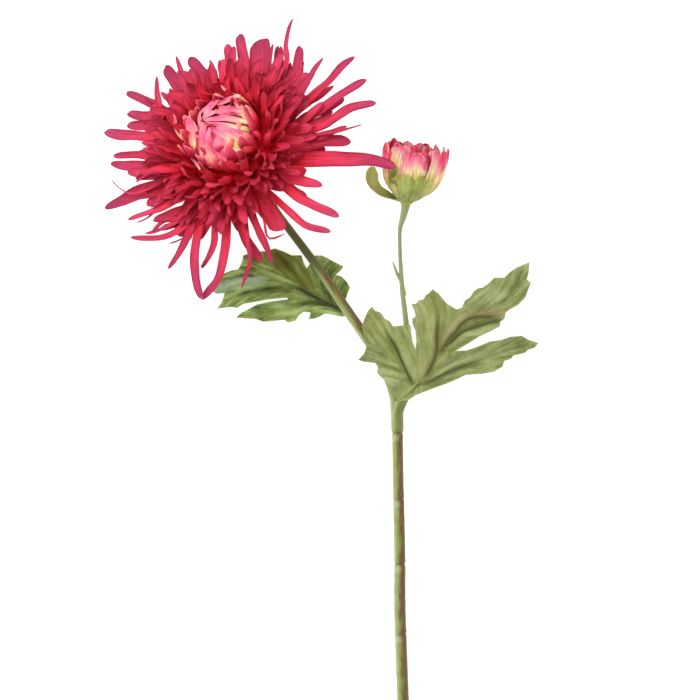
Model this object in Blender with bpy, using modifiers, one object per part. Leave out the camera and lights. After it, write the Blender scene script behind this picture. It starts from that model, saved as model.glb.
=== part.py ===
"""Artificial chrysanthemum on a cut stem, lying down: one open bloom, one half-open bud, two leaves."""
import math
import random

import bmesh
import bpy
from mathutils import Euler, Matrix, Vector
from mathutils.geometry import delaunay_2d_cdt

MM = 0.001

# Every length below is in millimetres and every angle in degrees.
# Plan positions are measured from the fork of the stem, X to the right and Y towards the bloom.
FORK = (39.5, -4.4, 0.0)

# Blades keep their middle surface this far above the surface below, and what is lower than the
# second value after that lies flat on it
FLOOR_CLEAR = 0.34
FLOOR_SNAP = 0.12

# Stem: x, y, height of the centre line, radius
MAIN_STEM = [
    (3.0, -180.5, 2.92, 3.05), (2.5, -166.0, 2.92, 3.0), (1.5, -149.5, 2.92, 2.95), (0.5, -120.0, 2.95, 2.9),
    (0.0, -100.0, 2.95, 2.9), (0.0, -80.0, 3.05, 2.8), (-0.5, -55.0, 3.3, 2.75), (-1.0, -35.0, 3.6, 2.7),
    (-1.5, -10.0, 4.6, 2.75), (-2.5, -3.0, 5.0, 3.2), (-3.0, 1.5, 5.4, 3.5), (-6.5, 12.0, 7.0, 2.95),
    (-14.0, 25.0, 9.0, 2.85), (-25.0, 40.5, 10.5, 2.8), (-40.0, 61.5, 11.6, 2.7), (-49.5, 74.5, 12.3, 2.6),
    (-55.5, 82.5, 12.9, 2.5), (-61.5, 92.0, 14.0, 2.5), (-66.5, 102.0, 16.0, 2.5),
]
STEM_WAISTS = [(-152.0, 0.22), (-117.0, 0.2), (-82.0, 0.45), (-49.5, 0.35), (-16.5, 0.3)]
WAIST_LENGTH = 2.2
COLLAR = (-15.5, 0.0, 0.35)
STEM_STEP = 7.0
STEM_INTO_CALYX = 13.5

BUD_BRANCH = [
    (-1.5, -1.5, 5.4, 1.6), (1.0, 5.0, 6.6, 1.6), (3.5, 14.0, 7.6, 1.5), (4.0, 25.0, 8.6, 1.45),
    (3.0, 37.5, 10.8, 1.4), (1.0, 54.5, 15.4, 1.25), (0.0, 68.5, 21.2, 1.05), (-0.4, 76.5, 26.0, 1.0),
    (-0.6, 84.0, 30.8, 1.05), (-0.3, 89.2, 33.3, 1.45), (0.7, 93.4, 34.3, 1.8),
]
BRACT = [(2.2, 52.0, 14.6), (0.5, 58.5, 17.4), (-1.6, 62.5, 19.2), (-3.8, 68.5, 21.4)]
BRACT_HALF_WIDTHS = (0.9, 1.0, 0.8, 0.35)

# Bloom head: its base plane is centred here and its axis leans this far towards the given azimuth
HEAD_CENTRE = (-77.8, 118.1, 37.0)
HEAD_LEAN = 34.0
HEAD_AZIMUTH = 130.9
HEAD_CORE = [(0.0, 14.0), (22.5, 14.0), (24.5, 12.0), (24.5, 8.5), (18.0, 3.2), (9.5, 0.0), (0.0, 0.0)]
CALYX_CUP = [
    (0.0, -0.3), (9.6, -0.3), (10.4, -0.9), (9.0, -3.4), (6.0, -6.6), (4.0, -9.4), (3.3, -13.2), (0.0, -13.2),
]
CALYX_BRACTS = 11

# Long outer petals: half width, how pointed the tip is, height of the tip above the base plane, and
# points along the petal in the plan of the head, each as travel towards the lean and across it
OUTER_PETALS = [
    (1.7, 1.0, 3.0, (19.5, -44.5), (31.5, -53.5), (40.0, -60.5), (43.5, -65.0)),
    (3.2, 0.6, 3.0, (8.0, -40.0), (14.0, -48.5), (26.5, -58.5)),
    (2.4, 1.0, 6.0, (1.0, -43.0), (6.0, -53.5), (10.5, -62.5)),
    (2.8, 0.3, 6.0, (-5.5, -48.5), (-4.5, -58.0), (-2.0, -66.5), (-2.0, -74.5)),
    (3.2, 0.4, 1.0, (-12.5, -41.0), (-13.5, -54.5), (-14.0, -71.0)),
    (2.8, 0.0, -3.0, (-20.0, -37.5), (-20.5, -47.0), (-21.0, -56.5), (-26.5, -66.5)),
    (1.3, 1.0, 3.0, (-23.5, -35.5), (-30.0, -44.5), (-35.5, -54.5)),
    (3.4, 0.0, -3.0, (-23.0, -26.5), (-28.5, -37.5), (-33.0, -45.5)),
    (3.8, 0.5, -15.0, (-26.5, -20.5), (-40.0, -37.0), (-49.0, -48.5), (-56.5, -55.0)),
    (2.6, 0.8, 0.0, (-29.5, -10.0), (-37.5, -15.0), (-44.5, -20.5)),
    (2.8, 0.0, -9.0, (-30.0, -6.0), (-44.0, -9.5), (-58.5, -16.5)),
    (2.7, 0.0, -15.0, (-28.5, 1.0), (-42.5, -1.0), (-51.0, -2.5), (-58.0, -9.0)),
    (4.8, 0.0, -12.0, (-23.5, 5.5), (-32.0, 6.5), (-40.0, 8.0)),
    (2.3, 0.6, -12.0, (-30.0, 13.0), (-40.5, 17.5), (-51.5, 21.5)),
    (2.6, 0.3, -14.0, (-23.5, 16.0), (-34.5, 23.5), (-45.0, 25.5)),
    (1.6, 1.0, -18.0, (-35.0, 21.5), (-44.5, 29.5), (-46.0, 41.5)),
    (2.3, 0.35, -14.0, (-20.5, 20.5), (-34.5, 34.0), (-41.5, 47.0), (-38.0, 59.0)),
    (1.8, 0.3, -9.0, (-18.5, 27.0), (-27.5, 38.0), (-28.0, 50.0)),
    (2.3, 0.35, -7.0, (-13.5, 30.0), (-24.0, 45.5), (-34.5, 54.5), (-44.0, 58.5)),
    (2.4, 0.7, -3.0, (-14.0, 37.0), (-18.0, 49.0), (-19.5, 62.0)),
    (1.8, 0.7, 1.0, (-12.0, 39.5), (-8.5, 54.0), (8.5, 66.0)),
    (1.8, 1.0, 3.0, (-7.5, 40.0), (-4.5, 51.5), (2.0, 59.5)),
    (2.4, 0.8, 5.0, (2.5, 39.5), (7.0, 51.0), (14.0, 61.5)),
    (5.2, 0.8, 2.0, (11.5, 35.5), (22.0, 49.0), (30.5, 67.0)),
    (2.3, 0.0, 7.0, (18.0, 31.5), (26.0, 39.5), (35.5, 46.5)),
    (3.2, 0.3, 3.0, (23.0, 30.5), (36.5, 41.5), (49.5, 50.5)),
    (2.2, 0.5, 6.0, (28.5, 29.5), (39.5, 38.0), (49.5, 47.0)),
    (2.6, 0.0, 3.2, (40.0, 25.5), (54.0, 34.5), (68.0, 42.0)),
    (2.3, 0.0, 8.0, (42.0, 20.0), (50.0, 25.5), (57.5, 31.5)),
    (2.4, 0.0, 2.6, (47.5, 17.5), (58.0, 22.5), (67.5, 27.5)),
    (2.6, 0.4, 5.6, (49.5, 13.5), (64.0, 17.5), (75.5, 21.5)),
    (2.4, 1.0, 8.0, (44.5, 15.0), (57.5, 11.0), (68.0, 4.0)),
    (2.0, 0.6, 10.0, (37.0, 7.5), (48.0, 8.0), (57.5, 7.5)),
    (3.1, 0.0, 4.2, (42.0, 1.0), (57.5, -0.5), (72.5, -1.5)),
    (2.2, 1.0, 9.0, (42.0, -2.0), (56.5, -5.5), (69.5, -9.0)),
    (4.3, 0.3, 1.4, (33.0, -9.0), (49.5, -13.5), (67.5, -16.5)),
    (3.1, 0.6, 6.0, (30.5, -20.5), (43.5, -26.0), (56.0, -32.5)),
    (2.6, 0.0, 3.0, (27.0, -26.5), (41.5, -33.0), (58.0, -40.5)),
    (5.2, 0.0, 2.0, (17.0, -28.0), (32.5, -37.0), (47.5, -47.5)),
]
OUTER_ROOT = (8.0, 2.2)
OUTER_ARCH = 3.5
# Share of the length, and width there for a blunt petal and for a pointed one
OUTER_SECTIONS = ((0.0, 0.45, 0.5), (0.3, 0.74, 0.8), (0.55, 0.9, 0.95), (0.76, 1.0, 0.85), (0.92, 0.9, 0.55),
                  (1.0, 0.45, 0.2))
LEAST_HALF_WIDTH = 0.5

# Inner rows: number, root radius and height, length, rise at root and at tip, half width. The petals
# on the side away from the lean are shorter by the share below.
INNER_ROWS = [
    (18, 12.0, 4.3, 47.0, 18.0, -4.0, 3.3),
    (20, 14.0, 6.5, 37.0, 34.0, 12.0, 3.3),
    (19, 19.5, 9.8, 27.0, 42.0, 46.0, 3.5),
    (16, 21.5, 9.5, 25.0, 80.0, 64.0, 3.4),
]
INNER_SHORTER = (0.4, 0.25, 0.1, 0.0)
PETAL_THICKNESS = 0.7
PETAL_CUP = 0.4
PETAL_SECTIONS = ((0.0, 0.45), (0.32, 0.74), (0.64, 0.96), (0.88, 0.92), (1.0, 0.42))
SHORT_SECTIONS = ((0.0, 0.48), (0.45, 0.86), (0.82, 0.96), (1.0, 0.45))

# Pale middle of the bloom: dome and incurved petals
CENTRE_DOME = [(0.0, 31.0), (7.0, 30.0), (12.5, 26.5), (16.0, 21.0), (16.0, 17.0), (14.5, 14.3), (0.0, 14.3)]
CENTRE_ROWS = [
    (12, 15.0, 15.8, 22.0, 58.0, 120.0, 3.8),
    (8, 10.0, 22.0, 15.5, 68.0, 116.0, 3.4),
    (5, 4.6, 26.5, 11.0, 74.0, 110.0, 3.0),
]

# Half-open bud
BUD_BASE = (1.5, 96.6, 35.0)
BUD_LEAN = 78.0
BUD_AZIMUTH = 76.0
BUD_CORE = [
    (0.0, 24.0), (9.0, 24.0), (12.8, 20.5), (13.8, 16.0), (13.0, 11.5), (10.0, 7.2), (7.6, 5.2), (4.5, 3.4),
    (0.0, 2.3),
]
BUD_ROWS = [
    (9, 3.0, 3.2, 30.0, 0.0, 102.0, 5.4),
    (8, 5.0, 9.0, 20.5, 50.0, 98.0, 4.2),
]
BUD_BEND = 0.62
BUD_CUP = [
    (0.0, 1.7), (3.5, 2.1), (6.5, 2.9), (9.2, 4.6), (9.4, 3.9), (6.6, 1.0), (3.2, -1.6), (2.0, -3.0), (0.0, -3.0),
]
BUD_SEPALS = (20.0, 150.0, 215.0, 272.0, 320.0)
LOOSE_SEPAL_AZIMUTH = 90.0

LEAF_THICKNESS = 0.8
LEAF_GRID = 6.0
LEAF_EDGE_MARGIN = 2.2
LEAF_CHANNEL = 1.3
LEAF_CHANNEL_REACH = 6.0

RIGHT_OUTLINE = [
    (-3.5, 1.5), (-4.5, 4.5), (-6.5, 8.5), (-11.5, 13.5), (-11.0, 16.5), (-12.5, 18.5), (-21.0, 20.0),
    (-18.0, 23.0), (-16.5, 27.0), (-18.0, 32.0), (-19.0, 37.0), (-17.5, 41.0), (-14.0, 46.5), (-12.5, 44.5),
    (-9.5, 43.5), (-7.5, 40.5), (-3.5, 36.5), (5.0, 37.5), (5.5, 33.0), (7.5, 25.0), (8.0, 29.0),
    (7.5, 34.5), (6.0, 38.0), (7.5, 41.5), (5.5, 47.5), (8.0, 48.0), (11.5, 50.0), (12.5, 52.0),
    (16.0, 55.0), (19.0, 53.0), (26.0, 46.0), (28.0, 45.0), (30.5, 46.0), (32.0, 49.5), (34.5, 51.0),
    (38.5, 55.5), (41.0, 56.0), (47.0, 61.0), (52.0, 61.0), (58.0, 66.0), (65.0, 69.0), (63.5, 60.0),
    (65.5, 58.5), (62.5, 51.0), (54.5, 45.0), (52.0, 40.5), (49.5, 36.5), (44.5, 34.0), (27.5, 24.5),
    (32.5, 24.5), (44.5, 29.0), (55.0, 31.5), (61.0, 32.0), (69.5, 28.5), (64.0, 25.0), (62.5, 23.5),
    (56.5, 22.0), (55.5, 20.5), (52.0, 19.5), (51.0, 16.5), (46.5, 14.0), (32.5, 12.5), (28.5, 10.5),
    (15.5, 5.5), (8.0, 2.5), (4.0, 0.0), (0.5, -1.0),
]
RIGHT_RIBS = [
    [(1.5, 2.5, 9.5), (1.0, 12.0, 12.2), (-4.5, 24.0, 13.8), (-10.0, 34.0, 13.4), (-14.0, 45.5, 10.0)],
    [(1.0, 12.0, 12.2), (-10.0, 17.0, 12.8), (-19.5, 20.0, 10.0)],
    [(1.5, 2.5, 9.5), (7.0, 12.5, 13.0), (11.0, 25.0, 17.0), (13.5, 39.5, 17.0), (15.5, 53.0, 13.0)],
    [(1.5, 2.5, 9.5), (9.0, 13.0, 13.4), (20.5, 27.0, 16.0), (33.5, 39.0, 14.0), (49.5, 49.0, 8.0),
     (64.5, 67.5, -1.2)],
    [(1.5, 2.5, 9.5), (10.5, 10.5, 12.4), (24.5, 16.5, 12.5), (42.0, 22.0, 8.5), (57.5, 26.5, 3.2),
     (68.5, 28.5, -1.2)],
]
LEFT_OUTLINE = [
    (-25.5, 42.0), (-29.0, 41.5), (-37.5, 43.0), (-42.5, 40.5), (-45.5, 40.0), (-44.5, 43.5), (-48.0, 44.0),
    (-50.5, 42.0), (-52.0, 39.5), (-56.0, 38.5), (-57.5, 40.0), (-68.0, 39.0), (-72.5, 40.5), (-82.0, 41.0),
    (-79.5, 43.5), (-71.5, 47.5), (-64.5, 49.0), (-56.0, 50.0), (-56.0, 51.0), (-65.0, 50.2), (-73.0, 48.8),
    (-78.0, 48.0), (-81.5, 46.0), (-84.5, 46.5), (-91.5, 45.5), (-89.0, 49.0), (-87.5, 53.5), (-92.0, 53.0),
    (-96.5, 56.5), (-92.0, 59.5), (-88.0, 63.0), (-80.5, 65.0), (-78.0, 72.0), (-72.0, 74.0), (-62.5, 75.5),
    (-54.0, 72.0), (-49.0, 72.0), (-46.5, 65.5), (-43.5, 72.0), (-38.5, 72.0), (-33.0, 69.0), (-28.0, 66.5),
    (-32.0, 62.5), (-29.0, 61.5), (-25.0, 56.0), (-27.0, 50.0), (-24.5, 45.0),
]
LEFT_RIBS = [
    [(-25.5, 43.5, 6.7), (-37.0, 50.5, 6.7), (-57.0, 58.0, 9.6), (-71.5, 63.5, 9.8), (-85.0, 62.0, 7.0),
     (-95.5, 57.0, 0.6)],
    [(-37.0, 50.5, 6.7), (-55.0, 55.0, 8.2), (-75.0, 53.5, 5.6), (-90.5, 47.0, -1.6)],
    [(-27.5, 43.5, 6.6), (-45.0, 47.5, 5.8), (-62.5, 45.5, 3.6), (-81.0, 42.0, -1.6)],
    [(-44.5, 53.5, 6.6), (-57.5, 65.0, 8.6), (-62.5, 74.0, 6.6)],
    [(-37.0, 50.5, 6.7), (-37.5, 62.5, 6.0), (-29.5, 67.0, 4.0)],
    [(-31.0, 47.5, 6.7), (-30.0, 55.0, 5.6), (-26.0, 56.5, 3.6)],
]

COLORS = {
    "stem": ((0.16, 0.20, 0.05, 1.0), 0.5),
    "leaf": ((0.20, 0.26, 0.08, 1.0), 0.7),
    "calyx": ((0.22, 0.28, 0.07, 1.0), 0.6),
    "crimson": ((0.50, 0.01, 0.06, 1.0), 0.75),
    "pale": ((0.80, 0.45, 0.38, 1.0), 0.75),
    "bud": ((0.75, 0.40, 0.30, 1.0), 0.75),
}


def clear_scene():
    for item in list(bpy.data.objects):
        bpy.data.objects.remove(item, do_unlink=True)
    for group in list(bpy.data.collections):
        bpy.data.collections.remove(group)


def make_collection(name):
    group = bpy.data.collections.new(name)
    bpy.context.scene.collection.children.link(group)
    return group


def make_material(name):
    color, roughness = COLORS[name]
    mat = bpy.data.materials.new(name)
    mat.use_nodes = True
    shader = mat.node_tree.nodes["Principled BSDF"]
    shader.inputs["Base Color"].default_value = color
    shader.inputs["Roughness"].default_value = roughness
    shader.inputs["Metallic"].default_value = 0.0
    return mat


def make_empty(name, parent, place, lean=0.0, azimuth=0.0):
    empty = bpy.data.objects.new(name, None)
    parts.objects.link(empty)
    empty.parent = parent
    empty.location = Vector(place) * MM
    empty.rotation_euler = Euler((0.0, math.radians(lean), math.radians(azimuth)))
    return empty


def add_object(name, data, group, parent, mat=None):
    item = bpy.data.objects.new(name, data)
    group.objects.link(item)
    item.parent = parent
    if mat:
        data.materials.append(mat)
    return item


def evaluated_copy(item):
    """The mesh of an object after its modifiers, in the object's own coordinates."""
    bpy.context.view_layer.update()
    graph = bpy.context.evaluated_depsgraph_get()
    return bpy.data.meshes.new_from_object(item.evaluated_get(graph))


def smooth_path(points, step):
    """Catmull-Rom curve through the points, every number in a point being interpolated."""
    padded = [points[0]] + points + [points[-1]]
    path = []
    for a, b, c, d in zip(padded, padded[1:], padded[2:], padded[3:]):
        count = max(1, round(math.dist(b[:3], c[:3]) / step))
        for i in range(count):
            t = i / count
            path.append(tuple(
                0.5 * (2 * q + (r - p) * t + (2 * p - 5 * q + 4 * r - s) * t ** 2
                       + (3 * q - p - 3 * r + s) * t ** 3)
                for p, q, r, s in zip(a, b, c, d)))
    return path + [points[-1]]


def tube(name, path, sides_setting, parent):
    """A closed tube along x, y, z, radius points, made from a curve and welded at its caps."""
    curve = bpy.data.curves.new(name, "CURVE")
    curve.dimensions = "3D"
    curve.bevel_depth = MM
    curve.bevel_resolution = sides_setting
    curve.use_fill_caps = True
    spline = curve.splines.new("POLY")
    spline.points.add(len(path) - 1)
    for point, (x, y, z, radius) in zip(spline.points, path):
        point.co = (x * MM, y * MM, z * MM, 1.0)
        point.radius = radius
    guide = add_object(name + "_curve", curve, pieces, parent)
    mesh = evaluated_copy(guide)
    bpy.data.objects.remove(guide)
    bm = bmesh.new()
    bm.from_mesh(mesh)
    bmesh.ops.remove_doubles(bm, verts=bm.verts, dist=0.00001)
    bm.to_mesh(mesh)
    bm.free()
    return add_object(name, mesh, pieces, parent)


def turned(name, profile, sides, parent):
    """A solid turned about the parent's Z from a profile of radius, height points."""
    bm = bmesh.new()
    verts = [bm.verts.new((r * MM, 0.0, h * MM)) for r, h in profile]
    for a, b in zip(verts, verts[1:]):
        bm.edges.new((a, b))
    mesh = bpy.data.meshes.new(name)
    bm.to_mesh(mesh)
    bm.free()
    item = add_object(name, mesh, pieces, parent)
    screw = item.modifiers.new("turn", "SCREW")
    screw.steps = sides
    screw.render_steps = sides
    screw.use_merge_vertices = True
    screw.merge_threshold = 0.00001
    return item


def sheet(name, rows, thickness, parent):
    """A thin closed blade from rows of points, split into triangles before it is thickened."""
    bm = bmesh.new()
    grid = [[bm.verts.new(Vector(p) * MM) for p in row] for row in rows]
    for low, high in zip(grid, grid[1:]):
        half = len(low) // 2
        for i in range(len(low) - 1):
            a, b, c, d = low[i], low[i + 1], high[i + 1], high[i]
            triangles = ((a, b, c), (a, c, d)) if i >= half else ((a, b, d), (b, c, d))
            for triangle in triangles:
                bm.faces.new(triangle)
    mesh = bpy.data.meshes.new(name)
    bm.to_mesh(mesh)
    bm.free()
    item = add_object(name, mesh, pieces, parent)
    thicken(item, thickness)
    return item


def thicken(item, thickness):
    solidify = item.modifiers.new("thickness", "SOLIDIFY")
    solidify.thickness = thickness * MM
    solidify.offset = 0.0


def joined(name, body, mat, parent, floor=False):
    """Unites the body with every other loose piece and keeps the result as one part."""
    others = make_collection(name + "_joined")
    for item in list(pieces.objects):
        if item is not body:
            pieces.objects.unlink(item)
            others.objects.link(item)
    union = body.modifiers.new("union", "BOOLEAN")
    union.operation = "UNION"
    union.operand_type = "COLLECTION"
    union.collection = others
    union.solver = "MANIFOLD"
    part = as_part(name, body, mat, parent, floor)
    for item in list(others.objects):
        bpy.data.objects.remove(item, do_unlink=True)
    bpy.data.collections.remove(others)
    return part


def as_part(name, body, mat, parent, floor=False):
    """Applies a piece's modifiers and keeps the mesh as a finished part."""
    mesh = evaluated_copy(body)
    bpy.data.objects.remove(body, do_unlink=True)
    mesh.name = name
    mesh.materials.clear()
    part = add_object(name, mesh, parts, parent, mat)
    tidy_mesh(part, floor)
    return part


def tidy_mesh(part, floor):
    """Drops fins without thickness and loose scraps, and flattens what touches the surface below."""
    bm = bmesh.new()
    bm.from_mesh(part.data)
    bmesh.ops.triangulate(bm, faces=bm.faces)
    fins = [vert for vert in bm.verts if len(vert.link_faces) == 2]
    bmesh.ops.delete(bm, geom=fins, context="VERTS")
    keep_largest(bm)
    if floor:
        bpy.context.view_layer.update()
        to_world = part.matrix_world
        to_local = to_world.inverted()
        for vert in bm.verts:
            place = to_world @ vert.co
            if place.z < FLOOR_SNAP * MM:
                place.z = 0.0
                vert.co = to_local @ place
    bmesh.ops.triangulate(bm, faces=bm.faces)
    bmesh.ops.recalc_face_normals(bm, faces=bm.faces)
    bm.to_mesh(part.data)
    bm.free()


def keep_largest(bm):
    left = set(bm.verts)
    groups = []
    while left:
        group = {left.pop()}
        edge = list(group)
        while edge:
            vert = edge.pop()
            for link in vert.link_edges:
                other = link.other_vert(vert)
                if other in left:
                    left.remove(other)
                    group.add(other)
                    edge.append(other)
        groups.append(group)
    groups.sort(key=len)
    scraps = [vert for group in groups[:-1] for vert in group]
    bmesh.ops.delete(bm, geom=scraps, context="VERTS")


def blade_line(length, rise_start, rise_end, bend=1.0, steps=24):
    """Radial and upward travel along a blade whose rise turns from start to end."""
    line = [(0.0, 0.0, math.radians(rise_start))]
    for i in range(steps):
        share = (i + 0.5) / steps
        angle = math.radians(rise_start + (rise_end - rise_start) * share ** bend)
        out, up, _ = line[-1]
        line.append((out + math.cos(angle) * length / steps, up + math.sin(angle) * length / steps, angle))
    return line


def blade_rows(azimuth, root, line, half_width, sections, cup, side=0.0, twist=0.0, to_world=None):
    """Rows of three points across a channelled blade, in its head's own axes."""
    angle = math.radians(azimuth)
    radial = Vector((math.cos(angle), math.sin(angle), 0.0))
    across = Vector((-math.sin(angle), math.cos(angle), 0.0))
    length = math.dist(line[0][:2], line[-1][:2])
    rows = []
    for share, width in sections:
        out, up, rise = line[round(share * (len(line) - 1))]
        centre = radial * (root[0] + out) + Vector((0.0, 0.0, root[1] + up))
        centre += across * side * length * share ** 2
        lift = Vector((0.0, 0.0, math.cos(rise))) - radial * math.sin(rise)
        turn = Matrix.Rotation(math.radians(twist) * share, 3, lift.cross(across))
        reach = half_width * width
        rows.append([
            above_floor(centre + turn @ (across * reach * t + lift * cup * reach * t * t), to_world)
            for t in (-1.0, 0.0, 1.0)])
    return rows


def above_floor(point, to_world):
    """Keeps a blade's middle surface just clear of the surface that the flower lies on."""
    if to_world is None:
        return point
    place = to_world @ point
    place.z = max(place.z, FLOOR_CLEAR)
    return to_world.inverted() @ place


def row_of_blades(name, row, sections, rng, parent, spread=1.0, bend=1.0, shorter=0.0):
    """One ring of petals, each a little off the rule."""
    count, radius, height, length, rise_start, rise_end, half_width = row
    phase = rng.uniform(0.0, 360.0)
    for i in range(count):
        azimuth = phase + 360.0 * (i + rng.uniform(-0.22, 0.22) * spread) / count
        long = length * rng.uniform(1.0 - 0.12 * spread, 1.0 + 0.06 * spread)
        long *= 1.0 - shorter * (1.0 - math.cos(math.radians(azimuth))) / 2
        end = rise_end + rng.uniform(-7.0, 7.0) * spread
        wide = half_width * rng.uniform(0.88, 1.12)
        side = rng.uniform(-0.14, 0.14) * spread
        twist = rng.uniform(-25.0, 25.0) * spread
        line = blade_line(long, rise_start, end, bend)
        rows = blade_rows(azimuth, (radius, height), line, wide, sections, PETAL_CUP, side, twist)
        sheet(f"{name}_{i}", rows, PETAL_THICKNESS, parent)


def outer_petal(index, petal, rng, parent, to_world):
    """A long petal that follows its own path out from the root ring, arched, drooping to its tip."""
    half_width, pointed, tip_height, *plan = petal
    inward = OUTER_ROOT[0] / math.hypot(*plan[0])
    plan = [(plan[0][0] * inward, plan[0][1] * inward)] + plan
    travel = [0.0]
    for a, b in zip(plan, plan[1:]):
        travel.append(travel[-1] + math.dist(a, b))
    points = []
    for (x, y), far in zip(plan, travel):
        share = far / travel[-1]
        height = OUTER_ROOT[1] + (tip_height - OUTER_ROOT[1]) * share ** 2
        points.append((x, y, height + OUTER_ARCH * math.sin(math.pi * share)))
    path = [Vector(point) for point in smooth_path(points, 1.0)]
    twist = rng.uniform(-25.0, 25.0)
    rows = []
    for share, blunt, sharp in OUTER_SECTIONS:
        place = round(share * (len(path) - 1))
        run = (path[min(place + 1, len(path) - 1)] - path[max(place - 1, 0)]).normalized()
        lift = (Vector((0.0, 0.0, 1.0)) - run * run.z).normalized()
        turn = Matrix.Rotation(math.radians(twist) * share, 3, run)
        reach = max(half_width * (blunt + (sharp - blunt) * pointed), LEAST_HALF_WIDTH)
        rows.append([
            above_floor(path[place] + turn @ (lift.cross(run) * reach * t + lift * PETAL_CUP * reach * t * t),
                        to_world)
            for t in (-1.0, 0.0, 1.0)])
    sheet(f"outer_{index}", rows, PETAL_THICKNESS, parent)


def rib_height(x, y, ribs):
    """Height of a leaf's middle surface: that of the nearest ribs, rising on both sides of them."""
    total, weight, nearest = 0.0, 0.0, 1000.0
    for rib in ribs:
        best = None
        for (ax, ay, az), (bx, by, bz) in zip(rib, rib[1:]):
            dx, dy = bx - ax, by - ay
            t = min(1.0, max(0.0, ((x - ax) * dx + (y - ay) * dy) / (dx * dx + dy * dy)))
            gap = math.hypot(x - ax - t * dx, y - ay - t * dy)
            if best is None or gap < best[0]:
                best = (gap, az + t * (bz - az))
        share = 1.0 / (best[0] ** 2 + 0.5) ** 1.5
        total += best[1] * share
        weight += share
        nearest = min(nearest, best[0])
    rise = LEAF_CHANNEL * min(1.0, nearest / LEAF_CHANNEL_REACH)
    return max(total / weight + rise, LEAF_THICKNESS / 2)


def inside(x, y, outline):
    within = False
    for (ax, ay), (bx, by) in zip(outline, outline[1:] + outline[:1]):
        if (ay > y) != (by > y) and x < ax + (y - ay) * (bx - ax) / (by - ay):
            within = not within
    return within


def edge_gap(x, y, outline):
    gap = 1000.0
    for (ax, ay), (bx, by) in zip(outline, outline[1:] + outline[:1]):
        dx, dy = bx - ax, by - ay
        t = min(1.0, max(0.0, ((x - ax) * dx + (y - ay) * dy) / (dx * dx + dy * dy)))
        gap = min(gap, math.hypot(x - ax - t * dx, y - ay - t * dy))
    return gap


def leaf(name, outline, ribs, mat, parent):
    """A lobed leaf: outline and ribs triangulated together, lifted to their heights and thickened."""
    points = list(outline)
    for rib in ribs:
        for x, y, _ in smooth_path(rib, LEAF_GRID):
            far = all(math.hypot(x - px, y - py) > 1.5 for px, py in points)
            if far and inside(x, y, outline) and edge_gap(x, y, outline) > 1.2:
                points.append((x, y))
    xs = [p[0] for p in outline]
    ys = [p[1] for p in outline]
    row = 0
    y = min(ys)
    while y < max(ys):
        x = min(xs) + (row % 2) * LEAF_GRID / 2
        while x < max(xs):
            clear = inside(x, y, outline) and edge_gap(x, y, outline) > LEAF_EDGE_MARGIN
            if clear and all(math.hypot(x - px, y - py) > 0.6 * LEAF_GRID for px, py in points):
                points.append((x, y))
            x += LEAF_GRID
        y += 0.866 * LEAF_GRID
        row += 1
    flat = [Vector(p) for p in points]
    verts, _, faces, _, _, _ = delaunay_2d_cdt(flat, [], [list(range(len(outline)))], 1, 0.001)
    bm = bmesh.new()
    made = [bm.verts.new(Vector((v.x, v.y, rib_height(v.x, v.y, ribs))) * MM) for v in verts]
    for face in faces:
        bm.faces.new([made[i] for i in face])
    bmesh.ops.triangulate(bm, faces=bm.faces)
    bmesh.ops.recalc_face_normals(bm, faces=bm.faces)
    mesh = bpy.data.meshes.new(name)
    bm.to_mesh(mesh)
    bm.free()
    item = add_object(name, mesh, pieces, parent)
    thicken(item, LEAF_THICKNESS)
    return as_part(name, item, mat, parent, floor=True)


def stem_path():
    """Centre line of the stem with its waists and collar, ending square on the calyx."""
    axis = Euler((0.0, math.radians(HEAD_LEAN), math.radians(HEAD_AZIMUTH))).to_matrix() @ Vector((0, 0, 1))
    top = Vector(HEAD_CENTRE) - axis * STEM_INTO_CALYX
    before = top - axis * 7.5
    points = MAIN_STEM + [tuple(before) + (2.6,), tuple(top) + (2.9,)]
    path = []
    for x, y, z, radius in smooth_path(points, STEM_STEP):
        if COLLAR[0] < y < COLLAR[1]:
            radius += COLLAR[2]
        path.append((x, y, z, radius))
    for y_waist, depth in STEM_WAISTS:
        path = [p for p in path if abs(p[1] - y_waist) > WAIST_LENGTH]
        low = max((p for p in path if p[1] < y_waist), key=lambda p: p[1])
        high = min((p for p in path if p[1] > y_waist), key=lambda p: p[1])
        for offset, share in ((-WAIST_LENGTH / 2, 0.0), (0.0, 1.0), (WAIST_LENGTH / 2, 0.0)):
            t = (y_waist + offset - low[1]) / (high[1] - low[1])
            x, y, z, radius = (a + t * (b - a) for a, b in zip(low, high))
            path.append((x, y, z, radius - depth * share))
        path.sort(key=lambda p: p[1])
    return path


def make_stem(mat, plant):
    body = tube("stem_body", stem_path(), 3, plant)
    tube("bud_branch", smooth_path(BUD_BRANCH, 7.0), 2, plant)
    rows = []
    for (x, y, z), half in zip(BRACT, BRACT_HALF_WIDTHS):
        rows.append([(x - half, y, z + 0.4 * half), (x, y, z), (x + half, y, z + 0.4 * half)])
    sheet("bract", rows, PETAL_THICKNESS, plant)
    joined("stem", body, mat, plant, floor=True)


def make_calyx(mat, head, rng):
    body = turned("cup", CALYX_CUP, 16, head)
    for i in range(CALYX_BRACTS):
        azimuth = 360.0 * (i + rng.uniform(-0.15, 0.15)) / CALYX_BRACTS
        line = blade_line(12.5, 40.0, 4.0)
        rows = blade_rows(azimuth, (6.0, -6.2), line, 2.2, SHORT_SECTIONS, 0.2)
        sheet(f"bract_{i}", rows, PETAL_THICKNESS, head)
    joined("bloom_calyx", body, mat, head)


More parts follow.
